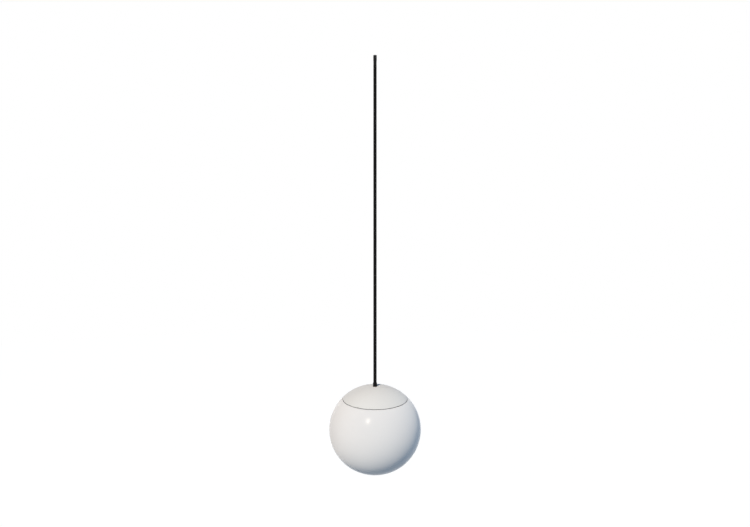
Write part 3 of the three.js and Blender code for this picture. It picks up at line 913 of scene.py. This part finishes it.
spring_steel = spring_finish()
clips = bent_strip(
    "glass_clips",
    [
        (clip_tail_radius, clip_tail_height),
        (clip_tail_radius + clip_tail_curl[0], clip_tail_height + clip_tail_curl[1]),
        (clip_hook_radius, clip_hook_height, clip_bend),
        (clip_leg_radius, clip_hook_height, clip_bend),
        (clip_leg_radius, clip_foot_height, clip_bend),
        (clip_foot_inner + clip_foot_end, clip_foot_height),
        (clip_foot_inner, clip_foot_height),
    ],
    clip_width,
    clip_end_width,
    clip_thickness,
    spring_steel,
)
ring_of(clips, len(clip_degrees), clip_degrees[0], spring_steel)
fit(clips, "pendant", "spring_steel", "glass_clip_1", "glass_clip_2", "glass_clip_3")


# Clip rivets. Domed steel rivets, one through the gallery and the foot of each clip, with
# the small set head below.
rivet_low, rivet_high, rivet_reach = span("clip_rivet_1")
rivet_shank_radius = 0.0015
rivet_head_radius = 0.0027
rivet_place = rivet_reach - rivet_head_radius
rivet_head_rise = rivet_head_radius / 2
rivet_tail_rise = rivet_head_radius / 4
rivet_head_base = rivet_high - rivet_head_rise
rivet_tail_base = rivet_low + rivet_tail_rise
rivets = turned(
    "clip_rivets",
    [
        *arc(rivet_head_radius, math.pi / 2, 0, (0, rivet_head_base), rivet_head_rise, steps=8),
        (rivet_shank_radius, rivet_head_base, hair_ease),
        (rivet_shank_radius, rivet_tail_base, hair_ease),
        *arc(rivet_head_radius, 0, -math.pi / 2, (0, rivet_tail_base), rivet_tail_rise, steps=6),
    ],
    bright_steel,
    sides=32,
)
for vertex in rivets.data.vertices:
    vertex.co.x += rivet_place
ring_of(rivets, len(clip_degrees), clip_degrees[0], bright_steel)
fit(rivets, "pendant", "bright_steel", "clip_rivet_1", "clip_rivet_2", "clip_rivet_3")


# Rim gasket. A flat ring of matt black silicone between the gallery and the glass, with a
# raised bead on each face. Its outer lip fills the seam, just inside the sphere, and shows
# from outside as a dark line: its black stands in part for painted shade in the seam gap.
gasket_bottom, gasket_top, gasket_reach = span("rim_gasket")
glass_opening_radius = 0.05842
gasket_clearance = 0.0003
gasket_inner_radius = glass_opening_radius + gasket_clearance
gasket_body_radius = 0.06694
gasket_lip_top = cap_rim - gasket_clearance
gasket_lip_top_radius = 0.07041
gasket_lip_width = 0.003
gasket_lip_ease = 0.00008
gasket_bead = 0.00025
gasket_bead_reach = 0.001


def gasket_finish():
    rubber = Finish("black_silicone", {"Specular IOR Level": 0.08})
    dust = rubber.noise(scale=2500, detail=4.0)
    # Near black: the silicone's own colour, and in part painted shade that darkens the seam.
    rubber.colour(dust, dark=(0.011, 0.011, 0.011), pale=(0.02, 0.02, 0.019))
    rubber.roughness(rubber.noise(scale=120), low=0.75, high=0.9)
    rubber.relief(dust, depth=0.00001)
    return rubber


gasket_body_top = gasket_top - gasket_bead
gasket_body_bottom = gasket_bottom + gasket_bead
gasket_middle = (gasket_inner_radius + gasket_body_radius) / 2
gasket_lip_inner = gasket_reach - gasket_lip_width
gasket = turned(
    "seam_gasket",
    [
        (gasket_inner_radius, gasket_body_bottom, soft_ease),
        (gasket_middle - gasket_bead_reach, gasket_body_bottom, soft_ease),
        (gasket_middle, gasket_bottom, soft_ease),
        (gasket_middle + gasket_bead_reach, gasket_body_bottom, soft_ease),
        (gasket_lip_inner - gasket_bead, gasket_body_bottom, soft_ease),
        (gasket_lip_inner, gasket_bottom, fine_ease),
        (gasket_reach, gasket_bottom, gasket_lip_ease),
        (gasket_lip_top_radius, gasket_lip_top, gasket_lip_ease),
        (gasket_body_radius, gasket_lip_top, fine_ease),
        (gasket_body_radius, gasket_body_top, soft_ease),
        (gasket_middle + gasket_bead_reach, gasket_body_top, soft_ease),
        (gasket_middle, gasket_top, soft_ease),
        (gasket_middle - gasket_bead_reach, gasket_body_top, soft_ease),
        (gasket_inner_radius, gasket_body_top, soft_ease),
    ],
    gasket_finish(),
    sides=128,
)
fit(gasket, "pendant", "gasket", "rim_gasket")


# Lampholder cap. A zinc-plated steel shell drawn to a rounded shoulder, with a neck that
# screws on the boss, a groove rolled round above its lower edge and a slotted grub screw in
# the neck.
holder_cap_bottom, neck_top, holder_radius = span("holder_cap")
holder_wall = 0.0016
holder_groove_rise = 0.003
holder_groove_width = 0.0012
holder_groove_depth = 0.0003
neck_inner_radius = boss_thread_radius + boss_clearance
neck_outer_radius = 0.0095
neck_length = 0.006
shoulder_top = neck_top - neck_length
shoulder_radius = 0.0105
shoulder_blend_angle = 0.05
shoulder_start = math.pi / 2 - shoulder_blend_angle
neck_screw_height = neck_top - neck_length / 2
neck_screw_radius = 0.0014
neck_slot_reach = 0.002
slot_width = 0.0005
slot_depth = 0.0007
slot_ease = 0.00003

shoulder_centre = (holder_radius - shoulder_radius, shoulder_top - shoulder_radius)
inner_shoulder = shoulder_radius - holder_wall
holder_groove_height = holder_cap_bottom + holder_groove_rise
holder_groove = ((holder_groove_height,), holder_groove_width, holder_groove_depth)
holder_cap = turned(
    "lampholder_cap",
    [
        (neck_inner_radius, neck_top, soft_ease),
        (neck_outer_radius, neck_top, full_ease),
        (neck_outer_radius, shoulder_top, full_ease),
        *arc(shoulder_radius, shoulder_start, 0, shoulder_centre, steps=14),
        *grooves(holder_radius, *holder_groove, soft_ease),
        (holder_radius, holder_cap_bottom, full_ease),
        (holder_radius - holder_wall, holder_cap_bottom, soft_ease),
        *arc(inner_shoulder, 0, math.pi / 2, shoulder_centre, steps=12),
        (neck_inner_radius, shoulder_top - holder_wall, soft_ease),
    ],
    zinc,
    sides=72,
)
fit(holder_cap, "pendant", "zinc_steel", "holder_cap")


def slotted_screw(name, corners, height, face, slot_reach):
    """A screw turned on the axis, laid along X at a height, with a slot cut in its face."""
    screw = turned(name, corners, bright_steel, sides=32)
    for vertex in screw.data.vertices:
        along, up = vertex.co.z, vertex.co.x
        vertex.co = (along, vertex.co.y, height - up)
    low = (face - slot_depth, -slot_reach, height - slot_width / 2)
    high = (face + slot_depth, slot_reach, height + slot_width / 2)
    cutter = block("slot_cutter", low, high, bright_steel, slot_ease)
    cut = screw.modifiers.new("slot", "BOOLEAN")
    cut.operation = "DIFFERENCE"
    cut.object = cutter
    bake(screw)
    bpy.data.objects.remove(cutter)
    return screw


neck_screw_corners = [
    (0, neck_inner_radius),
    (neck_screw_radius, neck_inner_radius, soft_ease),
    (neck_screw_radius, neck_outer_radius, fine_ease),
    (0, neck_outer_radius),
]
neck_screw = slotted_screw(
    "neck_grub_screw", neck_screw_corners, neck_screw_height, neck_outer_radius, neck_slot_reach
)
fit(neck_screw, "pendant", "bright_steel", "holder_neck_screw")


# Lampholder skirt. Black phenolic, compression moulded: a spigot that screws up into the
# cap, grip ribs round the outside and a lip below that stops short of the bulb.
skirt_bottom, spigot_top, skirt_radius = span("holder_skirt")
spigot_length = 0.005
spigot_outer_radius = 0.0181
spigot_inner_radius = 0.0165
skirt_shelf_depth = 0.008
skirt_lip_radius = 0.0149
skirt_bore = 0.0184
skirt_collar_height = 0.002
skirt_waist_radius = 0.0196
skirt_waist_rise = 0.012
skirt_waist_slope = 0.0008
skirt_rib_count = 40
skirt_rib_half_width = 0.0006
skirt_rib_overlap = 0.0004
skirt_rib_root = 0.0005
skirt_rib_ease = 0.00025
skirt_foot_ease = 0.0006


def phenolic_finish():
    phenolic = Finish("black_phenolic", {"Specular IOR Level": 0.5})
    flow = phenolic.noise(scale=500, detail=4.0, stretch=(1, 1, 0.4))
    phenolic.colour(flow, dark=(0.009, 0.0085, 0.008), pale=(0.018, 0.016, 0.015))
    phenolic.roughness(phenolic.noise(scale=70), low=0.24, high=0.38)
    phenolic.relief(flow, depth=0.00001)
    return phenolic


phenolic = phenolic_finish()
skirt_top = spigot_top - spigot_length
skirt_collar_bottom = skirt_top - skirt_collar_height
skirt_waist_top = skirt_collar_bottom - skirt_waist_slope
skirt_waist_bottom = skirt_bottom + skirt_waist_rise
skirt_band_top = skirt_waist_bottom - skirt_waist_slope
skirt_shelf_top = skirt_top - skirt_shelf_depth
skirt_shelf_bottom = skirt_shelf_top - holder_wall
skirt_lip_top = skirt_bottom + holder_wall
skirt = turned(
    "lampholder_skirt",
    [
        (spigot_inner_radius, spigot_top, fine_ease),
        (spigot_outer_radius, spigot_top, soft_ease),
        (spigot_outer_radius, skirt_top, fine_ease),
        (skirt_radius, skirt_top, soft_ease),
        (skirt_radius, skirt_collar_bottom, soft_ease),
        (skirt_waist_radius, skirt_waist_top, soft_ease),
        (skirt_waist_radius, skirt_waist_bottom, soft_ease),
        (skirt_radius, skirt_band_top, soft_ease),
        (skirt_radius, skirt_bottom, skirt_foot_ease),
        (skirt_lip_radius, skirt_bottom, full_ease),
        (skirt_lip_radius, skirt_lip_top, full_ease),
        (skirt_bore, skirt_lip_top, full_ease),
        (skirt_bore, skirt_shelf_bottom, full_ease),
        (skirt_lip_radius, skirt_shelf_bottom, soft_ease),
        (skirt_lip_radius, skirt_shelf_top, soft_ease),
        (spigot_inner_radius, skirt_shelf_top, soft_ease),
    ],
    phenolic,
    sides=80,
)
rib_foot = skirt_waist_bottom - skirt_rib_overlap
rib_head = skirt_waist_top + skirt_rib_overlap
rib_low = (skirt_waist_radius - skirt_rib_root, -skirt_rib_half_width, rib_foot)
rib_high = (skirt_radius, skirt_rib_half_width, rib_head)
ribs = block("skirt_ribs", rib_low, rib_high, phenolic, skirt_rib_ease)
ring_of(ribs, skirt_rib_count, 0, phenolic)
joined(skirt, ribs)
fit(skirt, "pendant", "phenolic", "holder_skirt")


# Lampholder core, thread shell and contact. A pressed steatite disc carries the brass thread
# shell, rolled to the bulb's thread, and a sprung brass tongue for the bulb's tip.
thread_pitch = 0.00363
thread_shell_bottom, thread_shell_top, thread_shell_radius = span("holder_thread_shell")
thread_shell_wall = 0.0006
thread_shell_hole = 0.00822
thread_shell_depth = 0.0003
thread_shell_points_per_turn = 10
contact_width = 0.005
contact_thickness = 0.0005
contact_taper = 0.8
contact_end_width = contact_taper * contact_width
contact_bend = 0.0006
contact_tip_end = 0.002
contact_bend_start = -0.002
contact_bend_end = -0.0031
contact_foot_end = -0.007
contact_end_step = 0.0005


def ceramic_finish():
    ceramic = Finish("steatite_ceramic", {"Specular IOR Level": 0.35})
    speck = ceramic.noise(scale=1500, detail=4.0)
    ceramic.colour(speck, dark=(0.66, 0.64, 0.58), pale=(0.76, 0.74, 0.68))
    ceramic.roughness(ceramic.noise(scale=100), low=0.55, high=0.7)
    ceramic.relief(speck, depth=0.00002)
    return ceramic


dress("holder_core", ceramic_finish())
shell_inside = thread_shell_radius - thread_shell_wall
shell_ceiling = thread_shell_top - thread_shell_wall
shell_step = thread_pitch / thread_shell_points_per_turn
holder_thread = turned(
    "holder_thread",
    [
        (thread_shell_hole, thread_shell_top, fine_ease),
        *wall(thread_shell_radius, thread_shell_top, thread_shell_bottom, shell_step),
        *wall(shell_inside, thread_shell_bottom, shell_ceiling, shell_step),
        (thread_shell_hole, shell_ceiling, fine_ease),
    ],
    brass,
    sides=72,
)
run_tree(holder_thread, thread, {
    "Pitch": thread_pitch,
    "Depth": thread_shell_depth,
    "Bottom": thread_shell_bottom,
    "Top": shell_ceiling,
    "Smallest radius": (thread_shell_hole + shell_inside) / 2,
    "Finish": brass.material,
})
fit(holder_thread, "pendant", "brass", "holder_thread_shell")

contact_low, contact_high, _ = span("centre_contact")
contact_tip_height = contact_low + contact_thickness / 2
contact_foot_height = contact_high - contact_thickness / 2
contact = bent_strip(
    "contact_tongue",
    [
        (contact_tip_end, contact_tip_height),
        (contact_tip_end - contact_end_step, contact_tip_height),
        (contact_bend_start, contact_tip_height, contact_bend),
        (contact_bend_end, contact_foot_height, contact_bend),
        (contact_foot_end + contact_end_step, contact_foot_height),
        (contact_foot_end, contact_foot_height),
    ],
    contact_width,
    contact_end_width,
    contact_thickness,
    brass,
)
fit(contact, "pendant", "brass", "centre_contact")


# Terminals, their screws and the cores. Brass blocks on the ceramic, each with a slotted
# screw that clamps one insulated core: live, neutral and earth.
terminal_degrees = {"live": 30, "neutral": 150, "earth": 270}
terminal_middle = 0.009
terminal_face = 0.0115
terminal_low, terminal_high, _ = span("live_terminal")
terminal_screw_height = (terminal_low + terminal_high) / 2
terminal_shank_radius = 0.0012
terminal_shank_end = 0.0095
terminal_head_radius = 0.00204
terminal_head_gap = 0.0003
terminal_head_base = terminal_face + terminal_head_gap
terminal_head_top = 0.0136
terminal_slot_reach = 0.003
core_end_gap = 0.0003
core_wire_diameter = 0.0022
core_wire_start = tail_radius / 2
core_wire_points = 16
core_wire_facets = 5
core_stripe_edge = 0.0002
core_dark_share = 0.8
core_colours = {
    "live": ("brown", (0.12, 0.05, 0.02), None),
    "neutral": ("blue", (0.03, 0.11, 0.4), None),
    "earth": ("earth", (0.05, 0.3, 0.05), (0.62, 0.56, 0.04)),
}

for use in terminal_degrees:
    dress(f"{use}_terminal", brass)

terminal_screw_corners = [
    (0, terminal_shank_end),
    (terminal_shank_radius, terminal_shank_end, fine_ease),
    (terminal_shank_radius, terminal_head_base),
    (terminal_head_radius, terminal_head_base, hair_ease),
    (terminal_head_radius, terminal_head_top, full_ease),
    (0, terminal_head_top),
]
terminal_screws = slotted_screw(
    "terminal_screws",
    terminal_screw_corners,
    terminal_screw_height,
    terminal_head_top,
    terminal_slot_reach,
)
ring_of(terminal_screws, len(terminal_degrees), terminal_degrees["live"], bright_steel)
terminal_screw_nodes = [f"{use}_terminal_screw" for use in terminal_degrees]
fit(terminal_screws, "pendant", "bright_steel", *terminal_screw_nodes)


def insulation_finish(name, colour, stripe):
    insulation = Finish(name, {"Specular IOR Level": 0.45})
    grain = insulation.noise(scale=2500, stretch=(1, 1, 0.1))
    darker = [core_dark_share * channel for channel in colour]
    shade = insulation.mix(grain, darker, colour)
    if stripe:
        striped = insulation.maths("GREATER_THAN", insulation.x, core_stripe_edge)
        shade = insulation.mix(striped, shade, stripe)
    insulation.set({"Base Color": shade})
    insulation.roughness(grain, low=0.36, high=0.48)
    insulation.relief(grain, depth=0.00001)
    return insulation


def insulated_core(use, finish):
    """One core: out of the sheath, across and down on to its terminal."""
    top = tail_bottom - core_end_gap
    bottom = terminal_high + core_end_gap
    half_fall = (top - bottom) / 2
    angle = math.radians(terminal_degrees[use])
    points = []
    for i in range(core_wire_points):
        t = i / (core_wire_points - 1)
        across = (1 - t) ** 2 * (1 + 2 * t)
        radius = terminal_middle + (core_wire_start - terminal_middle) * across
        height = (
            top * (1 - t) ** 3
            + 3 * (top - half_fall) * (1 - t) ** 2 * t
            + 3 * (bottom + half_fall) * (1 - t) * t ** 2
            + bottom * t ** 3
        )
        points.append((radius * math.cos(angle), radius * math.sin(angle), height))
    return strand(f"{use}_insulated_core", points, core_wire_diameter, core_wire_facets, finish)


for use, (shade, colour, stripe) in core_colours.items():
    insulation = insulation_finish(f"{shade}_core_insulation", colour, stripe)
    fit(insulated_core(use, insulation), "pendant", f"{shade}_insulation", f"{use}_core")


# Globe. Mouth-blown opal glass with a satin gloss, cut off at the seam: its wall is white
# through, and its inner face below the lip is painted whiter, as painted light of the bulb
# thrown about inside. Its ground edge is eased, and its rim turns in to a lip that the clips hold.
glass_wall = 0.003
glass_inner_radius = globe_radius - glass_wall
glass_rim = span("opal_globe")[1]
glass_lip_thickness = 0.004
glass_lip_underside = glass_rim - glass_lip_thickness
glass_lip_ease = 0.0012
glass_inside_reach = 0.0005
opal_cloud_share = 0.7


def opal_finish():
    opal = Finish("satin_opal_glass", {"Specular IOR Level": 0.05, "Diffuse Roughness": 0.65})
    seed = opal.noise(scale=260, detail=2.0)
    cloud = opal.noise(scale=11, detail=2.0)
    tone = cloud * opal_cloud_share + seed * (1 - opal_cloud_share)
    outside = opal.mix(tone, (0.785, 0.785, 0.782), (0.815, 0.814, 0.81))
    height = opal.z - globe_centre
    from_centre = opal.x * opal.x + opal.y * opal.y + height * height
    # The inner face of the bowl, below the lip, is painted near white: painted light of the bulb
    # thrown about inside the globe.
    painted_light_bowl = opal.maths("LESS_THAN", from_centre, (glass_inner_radius + glass_inside_reach) ** 2)
    painted_light_under_lip = opal.maths("LESS_THAN", opal.z, glass_lip_underside + glass_inside_reach)
    opal.colour(painted_light_bowl * painted_light_under_lip, dark=outside, pale=(0.95, 0.95, 0.945))
    opal.roughness(seed, low=0.2, high=0.22)
    opal.relief(opal.noise(scale=22, detail=1.0), depth=0.0002)
    return opal


glass_rim_start = math.asin((glass_rim - globe_centre) / globe_radius)
glass_lip_start = math.asin((glass_lip_underside - globe_centre) / glass_inner_radius)
globe_outside = sphere_arc(globe_radius, -math.pi / 2, glass_rim_start, steps=90)
globe_inside = sphere_arc(glass_inner_radius, glass_lip_start, -math.pi / 2, steps=70)
globe = turned(
    "opal_glass_globe",
    [
        (0, globe_outside[0][1]),
        *globe_outside[1:-1],
        (*globe_outside[-1], soft_ease),
        (glass_opening_radius, glass_rim, glass_lip_ease),
        (glass_opening_radius, glass_lip_underside, glass_lip_ease),
        (*globe_inside[0], glass_lip_ease),
        *globe_inside[1:-1],
        (0, globe_inside[-1][1]),
    ],
    opal_finish(),
    sides=160,
)
fit(globe, "globe", "opal_glass", "opal_globe")


# Bulb base. A soldered centre contact, a black glass insulator and a nickelled screw shell
# with the rolled thread that goes up into the lampholder.
contact_bottom, bulb_tip, contact_radius = span("bulb_contact")
insulator_bottom, insulator_top, insulator_bottom_radius = span("bulb_insulator")
insulator_top_radius = 0.00524
insulator_shoulder_radius = 0.0085
insulator_shoulder_rise = 0.0018
insulator_shoulder_ease = 0.0015
solder_radius = 0.0033
solder_rise = 0.0006
bulb_shell_bottom, bulb_shell_top, bulb_shell_radius = span("bulb_screw_shell")
bulb_shell_wall = 0.0005
bulb_thread_depth = 0.0009
bulb_shell_points_per_turn = 12

solder_base = contact_bottom + solder_rise
solder_contact = turned(
    "soldered_contact",
    [
        (0, contact_bottom),
        (contact_radius, contact_bottom, fine_ease),
        (contact_radius, solder_base, soft_ease),
        *arc(solder_radius, 0, math.pi / 2, (0, solder_base), bulb_tip - solder_base, steps=8),
    ],
    bright_steel,
    sides=48,
)
fit(solder_contact, "bulb_tip", "bright_steel", "bulb_contact")


def black_glass_finish():
    glass = Finish("black_insulator_glass", {"Specular IOR Level": 0.6})
    cloud = glass.noise(scale=300)
    glass.colour(cloud, dark=(0.008, 0.007, 0.01), pale=(0.016, 0.014, 0.019))
    glass.roughness(cloud, low=0.08, high=0.16)
    glass.relief(glass.noise(scale=900, detail=1.0), depth=0.00004)
    return glass


insulator_shoulder = insulator_bottom + insulator_shoulder_rise
insulator = turned(
    "base_insulator",
    [
        (0, insulator_bottom),
        (insulator_bottom_radius, insulator_bottom, soft_ease),
        (insulator_shoulder_radius, insulator_shoulder, insulator_shoulder_ease),
        (insulator_top_radius, insulator_top, full_ease),
        (0, insulator_top),
    ],
    black_glass_finish(),
)
fit(insulator, "bulb", "bulb_glass_black", "bulb_insulator")


def nickel_finish():
    nickel = Finish("nickelled_shell", {"Metallic": 1.0})
    cloud = nickel.noise(scale=150)
    nickel.colour(cloud, dark=(0.55, 0.54, 0.52), pale=(0.66, 0.65, 0.63))
    nickel.roughness(cloud, low=0.2, high=0.32)
    nickel.relief(nickel.noise(scale=4000, detail=1.0, stretch=(0.1, 0.1, 1)), depth=0.000004)
    return nickel


nickel = nickel_finish()
bulb_shell_inside = bulb_shell_radius - bulb_shell_wall
bulb_shell_step = thread_pitch / bulb_shell_points_per_turn
bulb_shell = turned(
    "bulb_screw_thread",
    [
        *wall(bulb_shell_radius, bulb_shell_top, bulb_shell_bottom, bulb_shell_step),
        *wall(bulb_shell_inside, bulb_shell_bottom, bulb_shell_top, bulb_shell_step),
    ],
    nickel,
    sides=80,
)
run_tree(bulb_shell, thread, {
    "Pitch": thread_pitch,
    "Depth": bulb_thread_depth,
    "Bottom": bulb_shell_bottom - thread_pitch,
    "Top": bulb_shell_top + thread_pitch,
    "Smallest radius": 0.0,
    "Finish": nickel.material,
})
fit(bulb_shell, "bulb", "bulb_shell", "bulb_screw_shell")


# Bulb body. A white plastic housing that flares from the collar to the rim, a white board
# with two rings of diodes on the rim, and a frosted dome pushed over it.
housing_bottom, stem_top, rim_radius = span("bulb_housing")
stem_length = 0.013
stem_radius = 0.0114
stem_bore = 0.0096
collar_radius = 0.0134
collar_edge = 0.0006
housing_wall = 0.0018
housing_skirt = 0.0012
rim_inner_radius = rim_radius - housing_wall
rim_step = 0.001
board_bottom, board_top, board_radius = span("bulb_board")
diode_rings = ((14, 0.019), (7, 0.0095))
diode_half_width = 0.0014
diode_rise = 0.0007
dome_bottom, dome_top, dome_radius = span("bulb_dome")
dome_wall = 0.0012
dome_rim_share = 0.9


def flare(top_radius, bottom_radius, top, bottom, steps):
    """A soft flare from one radius to another on the way down."""
    corners = []
    for step in range(steps + 1):
        share = step / steps
        widened = (1 - math.cos(math.pi * share)) / 2
        radius = top_radius + (bottom_radius - top_radius) * widened
        corners.append((radius, top + (bottom - top) * share))
    return corners


def bulb_plastic_finish():
    plastic = Finish("white_bulb_plastic", {"Specular IOR Level": 0.45})
    cloud = plastic.noise(scale=60)
    plastic.colour(cloud, dark=(0.77, 0.77, 0.76), pale=(0.81, 0.81, 0.8))
    plastic.roughness(cloud, low=0.36, high=0.46)
    plastic.relief(plastic.noise(scale=3500, detail=2.0), depth=0.000012)
    return plastic


bulb_plastic = bulb_plastic_finish()
housing_top = stem_top - stem_length
flare_top = housing_top - collar_edge
flare_bottom = housing_bottom + housing_skirt
inner_top = housing_top - housing_wall
inner_bottom = housing_bottom + rim_step
housing = turned(
    "bulb_body",
    [
        (stem_bore, stem_top, fine_ease),
        (stem_radius, stem_top, full_ease),
        (stem_radius, housing_top),
        (collar_radius, housing_top, soft_ease),
        *flare(collar_radius, rim_radius, flare_top, flare_bottom, steps=24),
        (rim_radius, housing_bottom, soft_ease),
        (rim_inner_radius, housing_bottom, fine_ease),
        *reversed(flare(stem_bore, rim_inner_radius, inner_top, inner_bottom, steps=20)),
    ],
    bulb_plastic,
    sides=96,
)
fit(housing, "bulb", "bulb_white", "bulb_housing")

board = turned(
    "diode_board",
    [
        (0, board_top),
        (board_radius, board_top, fine_ease),
        (board_radius, board_bottom, fine_ease),
        (0, board_bottom),
    ],
    bulb_plastic,
    sides=80,
)
fit(board, "bulb", "bulb_white", "bulb_board")


def phosphor_finish():
    phosphor = Finish("diode_phosphor", {"Specular IOR Level": 0.4})
    cloud = phosphor.noise(scale=1500)
    phosphor.colour(cloud, dark=(0.7, 0.5, 0.1), pale=(0.78, 0.6, 0.16))
    phosphor.roughness(cloud, low=0.3, high=0.4)
    phosphor.relief(cloud, depth=0.00002)
    return phosphor


phosphor = phosphor_finish()
diode_groups = []
for diode_count, diode_ring_radius in diode_rings:
    low = (diode_ring_radius - diode_half_width, -diode_half_width, board_bottom - diode_rise)
    high = (diode_ring_radius + diode_half_width, diode_half_width, board_bottom)
    diode_group = block(f"diodes_{diode_count}", low, high, phosphor, fine_ease)
    ring_of(diode_group, diode_count, 0, phosphor)
    diode_groups.append(diode_group)
diodes = joined(*diode_groups)
fit(diodes, "bulb", "bulb_white")


def dome_finish():
    dome = Finish("frosted_dome", {"Specular IOR Level": 0.4})
    frost = dome.noise(scale=4500, detail=2.0)
    dome.colour(dome.noise(scale=35), dark=(0.8, 0.8, 0.79), pale=(0.83, 0.83, 0.82))
    dome.roughness(frost, low=0.42, high=0.5)
    dome.relief(frost, depth=0.00001)
    return dome


dome_centre = (0, dome_bottom + dome_radius)
dome_rim_angle = math.acos(dome_rim_share)
dome_upper_rise = (dome_top - dome_centre[1]) / math.sin(dome_rim_angle)
dome_inner_radius = dome_radius - dome_wall
dome_outside = [
    *arc(dome_radius, -math.pi / 2, 0, dome_centre, steps=36),
    *arc(dome_radius, 0, dome_rim_angle, dome_centre, dome_upper_rise, steps=12)[1:],
]
dome_inside = [
    *arc(dome_inner_radius, dome_rim_angle, 0, dome_centre, dome_upper_rise, steps=12),
    *arc(dome_inner_radius, 0, -math.pi / 2, dome_centre, steps=30)[1:],
]
dome = turned("frosted_bulb_dome", [*dome_outside, *dome_inside], dome_finish(), sides=112)
fit(dome, "bulb", "bulb_dome", "bulb_dome")


# Floor, lamps and surroundings. The floor lies far below the lamp and is plain and pale. The
# main lamp is a tall soft box at the front left. Three wide ones, low at the front, at the
# right and behind, and an even bluish fill from all round soften its shade.
floor_height = -1.75
floor_radius = 3.2
floor_sides = 96
floor_colour = (0.1, 0.11, 0.12)
floor_lift = 0.95
white = (1, 1, 1, 1)
lamp_distance = 12.0
tall_box = (1.2, 2.4)
wide_box = (5.0, 5.0)
key_light = (0.945, 0.852, 0.734)
side_light = (0.186, 0.226, 0.26)
right_light = (0.33, 0.36, 0.37)
back_light = (0.5, 0.49, 0.48)
fill_light = (0.015, 0.065, 0.16)
key_direction = (-0.298, -0.717, 0.63)
side_direction = (0.34, -0.94, -0.07)
right_direction = (0.75, 0.65, 0.1)
back_direction = (-0.3, 1.0, -0.08)


def plain_shader(name):
    """A material with an empty node tree, and the tree."""
    material = bpy.data.materials.new(name)
    material.use_nodes = True
    material.node_tree.nodes.clear()
    return material, Nodes(material.node_tree)


def seen_directly(nodes):
    """True for what the camera sees, also in a mirror or through glass."""
    rays = [
        nodes.node("ShaderNodeLightPath", output=name)
        for name in ("Is Camera Ray", "Is Glossy Ray", "Is Transmission Ray")
    ]
    return nodes.maths("MAXIMUM", rays[0], nodes.maths("MAXIMUM", rays[1], rays[2]))


floor_material, floor_nodes = plain_shader("pale_floor")
floor_matt = floor_nodes.node("ShaderNodeBsdfDiffuse", sockets={"Color": (*floor_colour, 1)})
floor_light = floor_nodes.node("ShaderNodeEmission", sockets={
    "Color": white,
    "Strength": seen_directly(floor_nodes) * floor_lift,
})
floor_sum = floor_nodes.node("ShaderNodeAddShader", sockets={0: floor_matt, 1: floor_light})
floor_output = floor_material.node_tree.nodes.new("ShaderNodeOutputMaterial")
floor_nodes.feed(floor_output.inputs["Surface"], floor_sum)

floor_shape = bmesh.new()
bmesh.ops.create_circle(floor_shape, cap_ends=True, radius=floor_radius, segments=floor_sides)
bmesh.ops.translate(floor_shape, verts=floor_shape.verts, vec=(0, 0, floor_height))
floor_data = bpy.data.meshes.new("floor")
floor_shape.to_mesh(floor_data)
floor_shape.free()
floor_data.materials.append(floor_material)
floor = placed("floor", floor_data)


def soft_lamp(name, direction, size, light, mirrored):
    """A lamp that lights a white surface facing it to so much red, green and blue."""
    data = bpy.data.lights.new(name, "AREA")
    data.shape = "RECTANGLE"
    data.size, data.size_y = size
    data.energy = max(light) * (math.pi * lamp_distance) ** 2
    data.color = [channel / max(light) for channel in light]
    lamp = placed(name, data)
    lamp.location = Vector((0, 0, globe_centre)) + Vector(direction).normalized() * lamp_distance
    lamp.rotation_euler = Vector(direction).to_track_quat("Z", "Y").to_euler()
    lamp.visible_glossy = mirrored


soft_lamp("soft_box", key_direction, tall_box, key_light, True)
soft_lamp("side_fill", side_direction, wide_box, side_light, False)
soft_lamp("right_fill", right_direction, wide_box, right_light, False)
soft_lamp("back_fill", back_direction, wide_box, back_light, False)

world = bpy.data.worlds.new("surroundings")
world.use_nodes = True
world.node_tree.nodes.clear()
world_nodes = Nodes(world.node_tree)
white_around = world_nodes.node("ShaderNodeBackground", sockets={"Color": white})
cool_fill = world_nodes.node("ShaderNodeBackground", sockets={"Color": (*fill_light, 1)})
world_mix = world_nodes.node("ShaderNodeMixShader", sockets={
    0: seen_directly(world_nodes),
    1: cool_fill,
    2: white_around,
})
world_output = world.node_tree.nodes.new("ShaderNodeOutputWorld")
world_nodes.feed(world_output.inputs["Surface"], world_mix)
bpy.context.scene.world = world
bpy.context.scene.view_settings.view_transform = "Standard"
